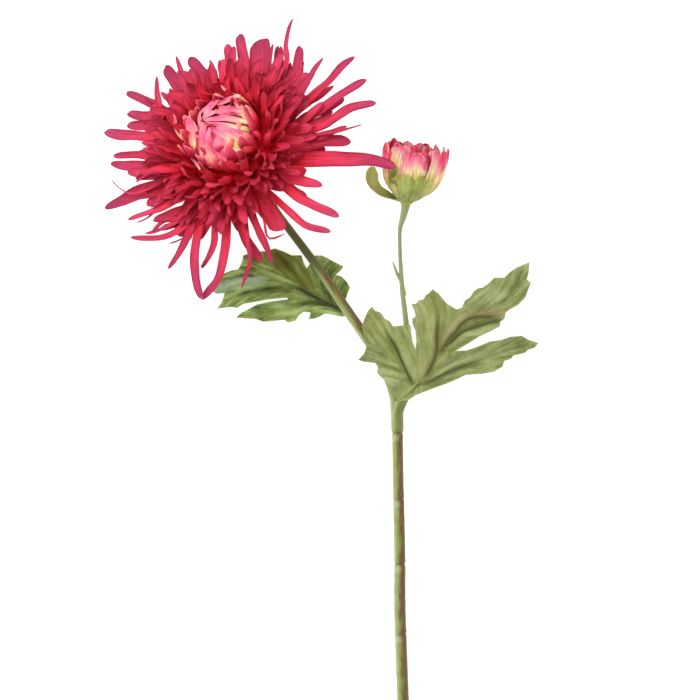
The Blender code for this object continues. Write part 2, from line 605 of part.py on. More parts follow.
def make_petals(mat, head, rng):
    body = turned("core", HEAD_CORE, 20, head)
    bpy.context.view_layer.update()
    to_world = Matrix.Scale(1 / MM, 4) @ head.matrix_world @ Matrix.Scale(MM, 4)
    for index, petal in enumerate(OUTER_PETALS):
        outer_petal(index, petal, rng, head, to_world)
    for number, row in enumerate(INNER_ROWS):
        sections = PETAL_SECTIONS if number == 0 else SHORT_SECTIONS
        row_of_blades(f"row_{number}", row, sections, rng, head, shorter=INNER_SHORTER[number])
    joined("bloom_petals", body, mat, head, floor=True)


def make_centre(mat, head, rng):
    body = turned("dome", CENTRE_DOME, 16, head)
    for number, row in enumerate(CENTRE_ROWS):
        row_of_blades(f"middle_{number}", row, SHORT_SECTIONS, rng, head, spread=0.5)
    joined("bloom_centre", body, mat, head)


def make_bud(petal_mat, green_mat, bud, rng):
    body = turned("bud_core", BUD_CORE, 16, bud)
    for number, row in enumerate(BUD_ROWS):
        row_of_blades(f"wrap_{number}", row, SHORT_SECTIONS, rng, bud, spread=0.4, bend=BUD_BEND)
    joined("bud_petals", body, petal_mat, bud)
    body = turned("bud_cup", BUD_CUP, 12, bud)
    for azimuth in BUD_SEPALS:
        rows = blade_rows(azimuth, (5.2, 0.6), blade_line(17.0, 12.0, 76.0, 0.8), 2.6, SHORT_SECTIONS, 0.3)
        sheet(f"sepal_{azimuth:.0f}", rows, PETAL_THICKNESS, bud)
    line = blade_line(33.0, 6.0, 135.0, 2.6)
    rows = blade_rows(LOOSE_SEPAL_AZIMUTH, (1.0, -0.8), line, 2.9, PETAL_SECTIONS, 0.3, 0.0, 25.0)
    sheet("loose_sepal", rows, PETAL_THICKNESS, bud)
    joined("bud_calyx", body, green_mat, bud)


clear_scene()
parts = make_collection("chrysanthemum")
pieces = make_collection("loose_pieces")
materials = {name: make_material(name) for name in COLORS}
plant = make_empty("plant", None, FORK)
head = make_empty("head", plant, HEAD_CENTRE, HEAD_LEAN, HEAD_AZIMUTH)
bud = make_empty("bud", plant, BUD_BASE, BUD_LEAN, BUD_AZIMUTH)
rng = random.Random(11)

make_stem(materials["stem"], plant)
leaf("leaf_right", RIGHT_OUTLINE, RIGHT_RIBS, materials["leaf"], plant)
leaf("leaf_left", LEFT_OUTLINE, LEFT_RIBS, materials["leaf"], plant)
make_calyx(materials["calyx"], head, rng)
make_petals(materials["crimson"], head, rng)
make_centre(materials["pale"], head, rng)
make_bud(materials["bud"], materials["calyx"], bud, rng)
bpy.data.collections.remove(pieces)
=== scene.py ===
import math
import random

import bpy
import numpy as np
from mathutils import Euler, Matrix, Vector
from mathutils.geometry import delaunay_2d_cdt


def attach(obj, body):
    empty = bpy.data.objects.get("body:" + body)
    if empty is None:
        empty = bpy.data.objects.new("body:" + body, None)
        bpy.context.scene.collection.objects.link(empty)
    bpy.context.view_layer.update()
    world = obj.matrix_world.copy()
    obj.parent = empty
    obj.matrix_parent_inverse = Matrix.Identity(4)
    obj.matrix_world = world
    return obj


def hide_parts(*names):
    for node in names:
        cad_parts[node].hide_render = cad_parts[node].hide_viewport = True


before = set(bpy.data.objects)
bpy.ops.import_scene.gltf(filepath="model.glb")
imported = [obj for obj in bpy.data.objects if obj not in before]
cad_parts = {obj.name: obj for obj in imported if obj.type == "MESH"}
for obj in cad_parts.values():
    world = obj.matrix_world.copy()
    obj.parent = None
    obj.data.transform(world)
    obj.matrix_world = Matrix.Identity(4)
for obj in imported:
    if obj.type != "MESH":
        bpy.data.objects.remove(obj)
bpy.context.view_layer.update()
print("frame loaded:", ", ".join(sorted(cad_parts)))

# Lengths are in millimetres and angles in degrees. Plan positions are measured from the fork of the
# stem, X to the right and Y towards the bloom, as in the part's own source.
mm = 0.001
fork = np.array((39.5, -4.4, 0))
floorGap = 0.06  # nothing of the flower is lower than this
fullTurn = 2 * math.pi


# Shader words

class Wire:
    # An output socket. Sums and products of wires and numbers add Math nodes.
    def __init__(self, paint, socket):
        self.paint = paint
        self.socket = socket

    def __add__(self, other):
        return self.paint.maths("ADD", self, other)

    __radd__ = __add__

    def __sub__(self, other):
        return self.paint.maths("SUBTRACT", self, other)

    def __rsub__(self, other):
        return self.paint.maths("SUBTRACT", other, self)

    def __mul__(self, other):
        return self.paint.maths("MULTIPLY", self, other)

    __rmul__ = __mul__


def opaque(colour):
    return (*colour, 1)


def setInputs(node, values):
    for key, value in values.items():
        node.inputs[key].default_value = value


class Paint:
    # One material with its Principled shader, and the nodes that feed it
    def __init__(self, name, roughness, sheen=0, specular=0.3, sheenTint=(1, 1, 1)):
        self.material = bpy.data.materials.new(name)
        self.material.use_nodes = True
        self.tree = self.material.node_tree
        self.shader = self.tree.nodes["Principled BSDF"]
        setInputs(self.shader, {
            "Roughness": roughness, "Sheen Weight": sheen, "Sheen Roughness": 0.4,
            "Specular IOR Level": specular, "Sheen Tint": opaque(sheenTint),
        })

    def node(self, kind, settings, sockets, output=0):
        made = self.tree.nodes.new(kind)
        for key, value in settings.items():
            if key == "stops":
                ramp = made.color_ramp
                ramp.elements[0].position = value[0][0]
                ramp.elements[-1].position = value[-1][0]
                for place, _ in value[1:-1]:
                    ramp.elements.new(place)
                for element, (_, colour) in zip(ramp.elements, value):
                    element.color = opaque(colour)
            else:
                setattr(made, key, value)
        for key, value in sockets.items():
            if isinstance(value, Wire):
                self.tree.links.new(value.socket, made.inputs[key])
            else:
                made.inputs[key].default_value = value
        return Wire(self, made.outputs[output])

    def maths(self, operation, *values, clamp=False):
        settings = {"operation": operation, "use_clamp": clamp}
        return self.node("ShaderNodeMath", settings, dict(enumerate(values)))

    def sine(self, value):
        return self.maths("SINE", value)

    def between(self, value, low, high):
        # 0 where the value is at low, 1 where it is at high, smooth in between
        sockets = {"Value": value, "From Min": low, "From Max": high}
        return self.node("ShaderNodeMapRange", {"interpolation_type": "SMOOTHSTEP"}, sockets)

    def parts(self, vector):
        return [self.node("ShaderNodeSeparateXYZ", {}, {0: vector}, axis) for axis in "XYZ"]

    def mark(self, name):
        # the three numbers of a named attribute of the mesh
        return self.parts(self.node("ShaderNodeAttribute", {"attribute_name": name}, {}, "Vector"))

    def place(self):
        return self.node("ShaderNodeTexCoord", {}, {}, "Object")

    def noise(self, where, scale, detail=3, roughness=0.55):
        # where is a vector or three numbers
        if isinstance(where, tuple):
            where = self.node("ShaderNodeCombineXYZ", {}, dict(enumerate(where)))
        sockets = {"Vector": where, "Scale": scale, "Detail": detail, "Roughness": roughness}
        return self.node("ShaderNodeTexNoise", {}, sockets, "Fac")

    def ramp(self, value, *stops):
        return self.node("ShaderNodeValToRGB", {"stops": stops}, {"Fac": value})

    def mix(self, share, first, second, how="MIX"):
        settings = {"data_type": "RGBA", "blend_type": how, "clamp_factor": True}
        colour = second if isinstance(second, Wire) else opaque(second)
        return self.node("ShaderNodeMix", settings, {0: share, 6: first, 7: colour}, 2)

    def grey(self, value):
        return self.node("ShaderNodeCombineColor", {}, {"Red": value, "Green": value, "Blue": value})

    def feed(self, **sockets):
        names = {"colour": "Base Color", "roughness": "Roughness", "normal": "Normal"}
        for key, wire in sockets.items():
            self.tree.links.new(wire.socket, self.shader.inputs[names[key]])
        return self.material

    def bump(self, height, distance, strength=1):
        # distance in millimetres
        sockets = {"Height": height, "Distance": distance * mm, "Strength": strength}
        return self.node("ShaderNodeBump", {}, sockets)


# Mesh words

def addObject(name, data):
    made = bpy.data.objects.new(name, data)
    bpy.context.scene.collection.objects.link(made)
    return made


class Head:
    # The axes of a flower head: its base plane is at place, and its axis leans towards an azimuth
    def __init__(self, place, lean, azimuth):
        self.turn = np.array(Euler((0, math.radians(lean), math.radians(azimuth))).to_matrix())
        self.place = np.array(place)


class Form:
    # Points, faces and marks of one piece, gathered shell by shell, in the axes of a head if it has one
    def __init__(self, head=None):
        self.points, self.faces, self.marks, self.count, self.head = [], [], {}, 0, head

    def add(self, points, faces, **marks):
        self.points.append(points @ self.head.turn.T + self.head.place if self.head else points)
        self.faces += [tuple(i + self.count for i in face) for face in faces]
        for key, values in marks.items():
            self.marks.setdefault(key, []).append(values)
        self.count += len(points)


def makePiece(name, form, material, nodes=(), sharp=48):
    points = np.concatenate(form.points)
    points[:, 2] = np.maximum(points[:, 2], floorGap)
    mesh = bpy.data.meshes.new(name)
    mesh.from_pydata(((points + fork) * mm).tolist(), [], form.faces)
    for key, values in form.marks.items():
        mark = mesh.attributes.new(key, "FLOAT_VECTOR", "POINT")
        mark.data.foreach_set("vector", np.concatenate(values).astype(np.float32).ravel())
    mesh.shade_smooth()
    mesh.set_sharp_from_angle(angle=math.radians(sharp))
    mesh.materials.append(material)
    piece = addObject(name, mesh)
    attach(piece, "root")
    if nodes:
        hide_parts(*nodes)
    print(f"{name}: {len(mesh.vertices)} points, {len(mesh.polygons)} faces")


def smoothPath(points, step):
    # Catmull-Rom curve through the points, every number in a point being interpolated
    points = np.array(points, float)
    padded = [points[0], *points, points[-1]]
    path = []
    for a, b, c, d in zip(padded, padded[1:], padded[2:], padded[3:]):
        count = max(1, round(math.dist(b[:3], c[:3]) / step))
        for t in np.arange(count) / count:
            path.append(0.5 * (2 * b + (c - a) * t + (2 * a - 5 * b + 4 * c - d) * t ** 2
                               + (3 * b - a - 3 * c + d) * t ** 3))
    return np.array([*path, points[-1]])


def travelled(path):
    # distance from the start of a path to each of its points
    return np.concatenate(([0], np.cumsum(np.linalg.norm(np.diff(path, axis=0), axis=1))))


def unit(vectors):
    return vectors / np.maximum(np.linalg.norm(vectors, axis=1), 1e-9)[:, None]


def clipped(value):
    return np.clip(value, 0, 1)


def bell(offset, width):
    return np.exp(-(offset / width) ** 2)


def ringFaces(rings, sides, outward=True):
    # quads between rings of points, then fans from the two end points that follow the rings
    last = (rings - 1) * sides
    faces = [(i + j, i + (j + 1) % sides, i + sides + (j + 1) % sides, i + sides + j)
             for i in range(0, last, sides) for j in range(sides)]
    for j in range(sides):
        k = (j + 1) % sides
        faces += [(last + sides, k, j), (last + sides + 1, last + j, last + k)]
    return faces if outward else [face[::-1] for face in faces]


def tubeForm(form, path, sides, shape):
    # A closed tube along x, y, z, radius rows; shape(around, along) scales the radius
    centres = path[:, :3]
    along = travelled(centres)
    tangents = unit(np.gradient(centres, axis=0))
    rightward = unit(np.cross(tangents, (0, 0, 1)))
    upward = np.cross(rightward, tangents)
    around = np.linspace(0, fullTurn, sides, endpoint=False)
    right, up = np.cos(around), np.sin(around)
    radii = shape(around, along[:, None]) * path[:, 3:]
    spread = rightward[:, None] * right[:, None] + upward[:, None] * up[:, None]
    points = (centres[:, None] + spread * radii[:, :, None]).reshape(-1, 3)
    marks = np.stack(np.broadcast_arrays(right, up, along[:, None] / 10), axis=2).reshape(-1, 3)
    points = np.concatenate((points, centres[:1], centres[-1:]))
    marks = np.concatenate((marks, [(0, 0, -1), (0, 0, along[-1] / 10)]))
    form.add(points, ringFaces(len(path), sides), stemMap=marks)


def turnedForm(form, profile, sides, along, rise=0):
    # A solid turned about the head's axis from radius, height points that start and end on the axis. It
    # takes the colour of a petal at one share of its length, or at one that rises with the height.
    around = np.linspace(0, fullTurn, sides, endpoint=False)
    (_, start), *rings, (_, end) = profile
    points = [(r * math.cos(a), r * math.sin(a), h) for r, h in rings for a in around]
    points = np.array([*points, (0, 0, start), (0, 0, end)])
    height = points[:, 2]
    none = 0 * height
    petalMap = np.stack((none, np.minimum(1, along + rise * height), none + 0.3), axis=1)
    petalSize = np.stack((none, height, none), axis=1)
    faces = ringFaces(len(rings), sides, start < end)
    form.add(points, faces, petalMap=petalMap, petalSize=petalSize)


def bladeShare(look):
    # where the rows of a blade lie along it, closer together near the tip
    return np.concatenate((np.linspace(0, 0.86, look["grid"][0] - 4), (0.91, 0.95, 0.98, 1)))


def risingSpine(look, azimuth, root, side, length, riseStart, riseEnd, bend=1, curl=0):
    # Centre line of a blade that leaves the head at an azimuth, bowed sideways, its rise turning from
    # start to end; with the directions across it and upward from it, and its length
    steps = 24
    share = (np.arange(steps) + 0.5) / steps
    rise = riseStart + (riseEnd - riseStart) * share ** bend
    rise = np.radians(rise + curl * clipped((share - 0.68) / 0.32) ** 1.5)
    travel = np.cumsum((np.cos(rise), np.sin(rise)), axis=1) * length / steps
    line = np.vstack((np.insert(travel, 0, 0, axis=1), (*rise[:1], *rise)))
    share = bladeShare(look)[:, None]
    out, up, rise = (np.interp(share * steps, np.arange(steps + 1), row) for row in line)
    angle = math.radians(azimuth)
    radial = np.array((math.cos(angle), math.sin(angle), 0))
    across = np.array((-math.sin(angle), math.cos(angle), 0))
    upward = np.array((0, 0, 1))
    bow = side * math.hypot(*travel[:, -1]) * share ** 2
    centre = (root[0] + out) * radial + (root[1] + up) * upward + bow * across
    return centre, across, np.cos(rise) * upward - np.sin(rise) * radial, length


def pathSpine(look, points, inner=None):
    # The same along its own points, root first. Its hollow side faces up, or an inner point.
    path = smoothPath(points, 0.5)
    along = travelled(path)
    at = bladeShare(look) * along[-1]
    centre = np.stack([np.interp(at, along, path[:, k]) for k in range(3)], axis=1)
    run = unit(np.gradient(centre, at, axis=0))
    facing = np.tile((0, 0, 1), (len(centre), 1)) if inner is None else inner - centre
    lift = unit(facing - run * np.sum(run * facing, axis=1)[:, None])
    return centre, np.cross(lift, run), lift, along[-1]


def blade(form, look, spine, halfWidth, rng, twist=0, pointed=0, ownTone=None):
    # A thin closed shell round a spine: rows run along it, and t from -1 to 1 across it
    centre, across, lift, length = spine
    rows, columns = look["grid"]
    share = bladeShare(look)[:, None]
    t = np.linspace(-1, 1, columns)
    wavePhase, ripplePhase, tone, notch, rolling, lean = drawPetal(rng)
    turn = np.radians((twist + lean * look["turn"]) * share)
    across, lift = (across * np.cos(turn) - lift * np.sin(turn),
                    lift * np.cos(turn) + across * np.sin(turn))
    wave = look["wave"] * share * np.sin(fullTurn * (share * look["waves"] + wavePhase))
    sway = look["wave"] * share * np.sin(fullTurn * (share * look["waves"] * 0.8 + ripplePhase))
    centre = centre + lift * wave + across * sway
    foot = look["foot"] + (1 - look["foot"]) * np.sin(fullTurn / 4 * np.minimum(1, share / 0.7))
    closing = clipped((share - (1 - look["tip"])) / look["tip"])
    width = foot * np.maximum((1 - closing ** 2) ** look["round"], look["blunt"])
    narrowing = clipped((share - look["taperFrom"]) / (1 - look["taperFrom"])) ** 1.2
    width *= 1 - look["taper"] * pointed * narrowing
    rollFoot, rollTip = look["roll"]
    roll = np.clip((rollFoot + (rollTip - rollFoot) * share) * rolling, 0.3, 1.9)
    flat = halfWidth * width / np.sin(np.minimum(roll, fullTurn / 4))
    torn = look["torn"] * np.sin(fullTurn * (share * 4.3 + np.sign(t) * 0.37 + wavePhase)) * np.abs(t) ** 3
    x = flat * np.sin(roll * t) * (1 + torn)
    z = flat * (1 - np.cos(roll * t) - look["level"] * (1 - np.cos(roll)))
    ripple = np.sin(fullTurn * (share * look["ripples"] + ripplePhase) + 1.3 * t) * t ** 2
    z += look["ripple"] * ripple * np.minimum(1, share * 2)
    pull = notch * clipped((share - 0.9) / 0.1) * (1 - t ** 2)
    centre, across, lift, run = (v[:, None] for v in (centre, across, lift, np.cross(across, lift)))
    x3, z3, pull3, roll3 = (v[:, :, None] for v in (x, z, pull, roll * t))
    mid = centre + across * x3 + lift * z3 - run * pull3
    normal = lift * np.cos(roll3) - across * np.sin(roll3)
    half = (0.5 * look["thickness"] * (1 - t ** 6))[:, None]
    crease = (look["crease"] * bell(t, look["creaseWidth"]))[:, None]
    top = mid + normal * (half - crease)
    low = mid - normal * (half + crease)
    inner = np.zeros((rows, columns), bool)
    inner[1:-1, 1:-1] = True
    above = np.arange(rows * columns).reshape(rows, columns)
    below = above.copy()
    below[inner] = rows * columns + np.arange(int(inner.sum()))
    points = np.concatenate((np.where(inner[:, :, None], top, mid).reshape(-1, 3), low[inner]))
    faces = []
    for i in range(rows - 1):
        for j in range(columns - 1):
            faces.append((above[i, j], above[i + 1, j], above[i + 1, j + 1], above[i, j + 1]))
            faces.append((below[i, j], below[i, j + 1], below[i + 1, j + 1], below[i + 1, j]))
    outness = clipped((np.hypot(mid[:, :, 0], mid[:, :, 1]) - outFrom) / outReach)
    marks = [np.stack(np.broadcast_arrays(*three), axis=2) for three in (
        (t, share, tone if ownTone is None else ownTone), (x, share * length, outness))]
    petalMap, petalSize = (np.concatenate((m.reshape(-1, 3), m[inner])) for m in marks)
    form.add(points, faces, petalMap=petalMap, petalSize=petalSize)


# How far a petal strays from the rule: share of the gap to the next, shares of its length, rise of the
# tip, width, sideways bow and twist; then the depth of the notch in its tip and how far it is rolled.
ruleStray = {
    "place": 0.22, "shorter": 0.12, "longer": 0.06, "rise": 7, "width": (0.88, 1.12), "side": 0.14,
    "twist": 25, "notch": (-2.5, 1.4), "rolling": (0.6, 1.5),
}


def drawPetal(rng):
    # phases of the wave and of the ripple, tone of colour, depth of the notch, roll, and how far it
    # turns over
    return (rng.random(), rng.random(), rng.random(), max(0, rng.uniform(*ruleStray["notch"])),
            rng.uniform(*ruleStray["rolling"]), rng.uniform(-1, 1))


def ringOfBlades(form, row, look, rng, own, spread=1, bend=1, shorter=0, slim=1):
    # One ring of petals, each a little off the rule. rng places them as the solids are placed.
    count, radius, height, length, riseStart, riseEnd, halfWidth = row
    phase = rng.uniform(0, 360)

    def stray(key):
        return rng.uniform(-ruleStray[key], ruleStray[key]) * spread

    for i in range(count):
        azimuth = phase + 360 * (i + stray("place")) / count
        long = length * rng.uniform(1 - ruleStray["shorter"] * spread, 1 + ruleStray["longer"] * spread)
        long *= 1 - shorter * (1 - math.cos(math.radians(azimuth))) / 2
        end = riseEnd + stray("rise")
        wide = halfWidth * rng.uniform(*ruleStray["width"])
        side = stray("side")
        twist = stray("twist")
        spine = risingSpine(look, azimuth, (radius, height), side, long, riseStart, end, bend,
                            own.uniform(*look["curl"]))
        blade(form, look, spine, wide * slim, own, twist, own.uniform(*look["pointed"]))


# Petals of the bloom

# Of a blade: rows and columns of points, width at the root, share of its length that the tip takes up and
# how round and how blunt it is, how far it rolls up at root and tip, waves along it and ripples of its
# edges, thickness, torn edge, how far it turns over, depth of the middle crease, share of the roll that
# is laid level, the ranges of the curl and of how pointed it is, width of the crease, and how much a
# pointed one narrows and from where on.
petalLook = {
    "grid": (20, 9), "foot": 0.5, "tip": 0.14, "round": 0.5, "blunt": 0.1, "roll": (1, 1), "wave": 0.5,
    "waves": 1.5, "ripple": 0.4, "ripples": 3, "thickness": 0.4, "torn": 0.08, "turn": 20, "crease": 0.14,
    "level": 0, "curl": (0, 0), "pointed": (0, 0), "creaseWidth": 0.22, "taper": 0.62, "taperFrom": 0.4,
}
outFrom, outReach = 20, 50  # distances from a head's axis over which the colour changes
bloom = {
    "place": (-77.8, 118.1, 37), "lean": 34, "azimuth": 130.9,
    "bracts": 11, "bractJitter": 0.15,  # of the cup behind it, drawn first
    "core": [(0, 0), (9.5, 0), (18, 3.2), (24, 8.5), (23.5, 11.5), (21.5, 13.6), (0, 14)],
    # half width, how pointed, height of the tip over the base plane, then points in the head's plan, one
    # after another: travel towards the lean, and across it
    "outer": [
        (1.7, 1, 3, 19.5, -44.5, 31.5, -53.5, 40, -60.5, 43.5, -65),
        (3.2, 0.6, 3, 8, -40, 14, -48.5, 26.5, -58.5), (2.4, 1, 6, 1, -43, 6, -53.5, 10.5, -62.5),
        (2.3, 0.4, 6, -5.5, -48.5, -4.5, -58, -2, -66.5, -2, -74.5),
        (2.6, 0.5, 1, -12.5, -41, -13.5, -54.5, -14, -71),
        (2.8, 0, -3, -20, -37.5, -20.5, -47, -21, -56.5, -26.5, -66.5),
        (1.3, 1, 3, -23.5, -35.5, -30, -44.5, -35.5, -54.5),
        (3.4, 0, -3, -23, -26.5, -28.5, -37.5, -33, -45.5),
        (4.6, 0.7, -14, -27, -20.5, -38.5, -35, -47, -46.5, -55, -52.5),
        (3.6, 0.8, 0, -28, -9.5, -36.5, -14.5, -44.5, -20.5),
        (2.3, 0.3, -9, -30, -6, -44, -9.5, -58.5, -16.5),
        (1.75, 0.2, -15, -28.5, 1, -42.5, -1, -51, -2.5, -58, -9),
        (4.8, 0, -12, -23.5, 5.5, -32, 6.5, -40, 8), (2.3, 0.6, -12, -30, 13, -40.5, 17.5, -51.5, 21.5),
        (2.6, 0.3, -14, -23.5, 16, -34.5, 23.5, -45, 25.5),
        (1.6, 1, -18, -35, 21.5, -44.5, 29.5, -46, 41.5),
        (2.3, 0.35, -14, -20.5, 20.5, -34.5, 34, -41.5, 47, -38, 59),
        (1.8, 0.3, -9, -18.5, 27, -27.5, 38, -28, 50),
        (2.3, 0.35, -7, -13.5, 30, -24, 45.5, -34.5, 54.5, -44, 58.5),
        (2.4, 0.7, -3, -14, 37, -18, 49, -19.5, 62), (1.8, 0.7, 1, -12, 39.5, -8.5, 54, 8.5, 66),
        (1.8, 1, 3, -7.5, 40, -4.5, 51.5, 2, 59.5), (2.4, 0.8, 5, 2.5, 39.5, 7, 51, 14, 61.5),
        (5.2, 1, 2, 11.5, 35.5, 22, 49, 30.5, 67), (2.3, 0, 7, 18, 31.5, 26, 39.5, 35.5, 46.5),
        (3.2, 0.7, 3, 23, 30.5, 36.5, 41.5, 49.5, 50.5), (2.2, 0.5, 6, 28.5, 29.5, 39.5, 38, 49.5, 47),
        (2.6, 0, 3.2, 40, 25.5, 54, 34.5, 68, 42), (2.3, 0, 8, 42, 20, 50, 25.5, 57.5, 31.5),
        (2.4, 0, 2.6, 47.5, 17.5, 58, 22.5, 67.5, 27.5),
        (2.6, 0.4, 5.6, 49.5, 13.5, 64, 17.5, 75.5, 21.5), (2.4, 1, 8, 44.5, 15, 57.5, 11, 68, 4),
        (2, 0.6, 10, 37, 7.5, 48, 8, 57.5, 7.5), (3.1, 0, 4.2, 42, 1, 57.5, -0.5, 72.5, -1.5),
        (2.2, 1, 9, 42, -2, 56.5, -5.5, 69.5, -9), (4.1, 0.75, 1.4, 33, -9, 50.5, -12.5, 69.5, -14),
        (3.1, 0.6, 6, 30.5, -20.5, 43.5, -26, 56, -32.5), (2.6, 0, 3, 27, -26.5, 41.5, -33, 58, -40.5),
        (5.2, 0, 2, 17, -28, 32.5, -37, 47.5, -47.5),
    ],
    # thin ones, and ones that only fill in between, which the solids leave out
    "extraOuter": [
        (1.6, 0.3, 6, 12, -32, 25.5, -40, 37.5, -49), (3, 0.5, -2, 5.5, -35, 22.5, -42.5, 39.5, -51),
        (2.6, 0.3, 1, 3, -37, 14.5, -43, 25, -49), (3.3, 0, 12, -3, -33.5, -0.5, -44, 1.5, -54.5),
        (1.8, 0.2, 8, -13.5, -31, -12.5, -40, -12, -47.5), (0.7, 1, 7, 19.5, 47, 29, 54, 38, 55.5),
        (0.7, 1, -12, -34.5, 10.5, -42.5, 15.5, -42, 7.5),
        (1.5, 0.5, 4, -6.5, 39.5, -1.5, 48.5, -1.5, 56), (1.4, 0.5, 2, 32.5, -16.5, 45, -20.5, 55, -24.5),
        (0.8, 1, -2, -14.5, 40, -13.5, 48.5, -9.5, 53.5), (1.2, 1, 4, 5.5, 45.5, 7, 54, 9.5, 59.5),
        (2.8, 0.2, 5, 1.5, 29, 7, 41, 13.5, 49.5), (2.6, 0.4, 4, -8, 30, -3, 41.5, 4.5, 52),
        (2.6, 0.5, 2, -12, 29.5, -9.5, 41.5, -1.5, 52.5), (3, 0.4, 0, -14, 27, -13.5, 38.5, -9.5, 48),
        (3, 0.3, -2, -15.5, 25.5, -17.5, 35, -18, 42.5),
        (2.6, 0.3, -4, -19.5, 23, -22.5, 29.5, -22.5, 37), (2.4, 0.3, -6, -22, 18.5, -25, 22, -29.5, 23),
        (2.4, 0.5, 2, -4.5, -37.5, -5.5, -47.5, -4, -57.5),
        (2.6, 0.4, -1, -11, -35.5, -12.5, -46, -11.5, -57),
        (2.5, 0.3, 0, -13.5, -32, -15.5, -40, -14.5, -48.5),
        (2.2, 0.6, 0, -21.5, -31.5, -25.5, -40, -27.5, -48.5),
        (2.6, 0.3, 3, 39, 10, 54, 13.5, 64.5, 16.5),
    ],
    # drawn last, where the floor would show between the others
    "lastOuter": [
        (2.6, 0.3, -8, -19, -13.5, -23, -16.2, -26.5, -18.5),
        (2.6, 0.3, -8, -22, -5, -31, -8, -38.5, -11), (2.8, 0.3, -4, -17, -19, -23, -26.5, -27, -33),
    ],
    "root": (8, 2.2), "arch": 3.5, "twist": 25,
    # number, root radius and height, length, rise at root and at tip, half width; then how much
    # shorter they are on the side away from the lean
    "rows": [
        ((18, 12, 4.3, 47, 18, -4, 3.3), 0.4), ((20, 14, 6.5, 37, 34, 12, 3.3), 0.25),
        ((19, 19.5, 9.8, 27, 42, 46, 3.5), 0.1), ((16, 21.5, 9.5, 25, 80, 64, 3.4), 0),
    ],
    "extraRows": [
        ((26, 9, 2.8, 55, 10, -8, 3), 0.48), ((22, 11, 4.2, 47, 16, -2, 3), 0.4),
        ((20, 13, 5.6, 39, 28, 8, 2.9), 0.3), ((18, 15, 7.4, 33, 38, 22, 3), 0.2),
        ((18, 18, 9, 29, 48, 40, 3), 0.1), ((14, 20.5, 9.8, 26, 64, 54, 3), 0),
        ((11, 19, 12, 22, 76, 82, 3), 0),
    ],
    "slim": 0.88, "full": 1.08,  # width of the ruled ones and of the others against the solids
    "long": {
        **petalLook, "grid": (24, 9), "foot": 0.42, "tip": 0.1, "roll": (1.2, 0.9), "waves": 1.7,
        "ripple": 0.35, "torn": 0.06, "level": 0.5,
    },
    "mid": {
        **petalLook, "grid": (20, 7), "foot": 0.42, "roll": (1.2, 0.95), "wave": 1, "waves": 1.6,
        "turn": 40, "curl": (-24, 30), "pointed": (0, 1),
    },
    "short": {
        **petalLook, "grid": (16, 7), "foot": 0.46, "tip": 0.18, "round": 0.55, "roll": (1.15, 1),
        "wave": 0.9, "waves": 1.3, "ripple": 0.45, "ripples": 2.4, "turn": 45, "curl": (-24, 50),
        "pointed": (0, 0.9),
    },
}
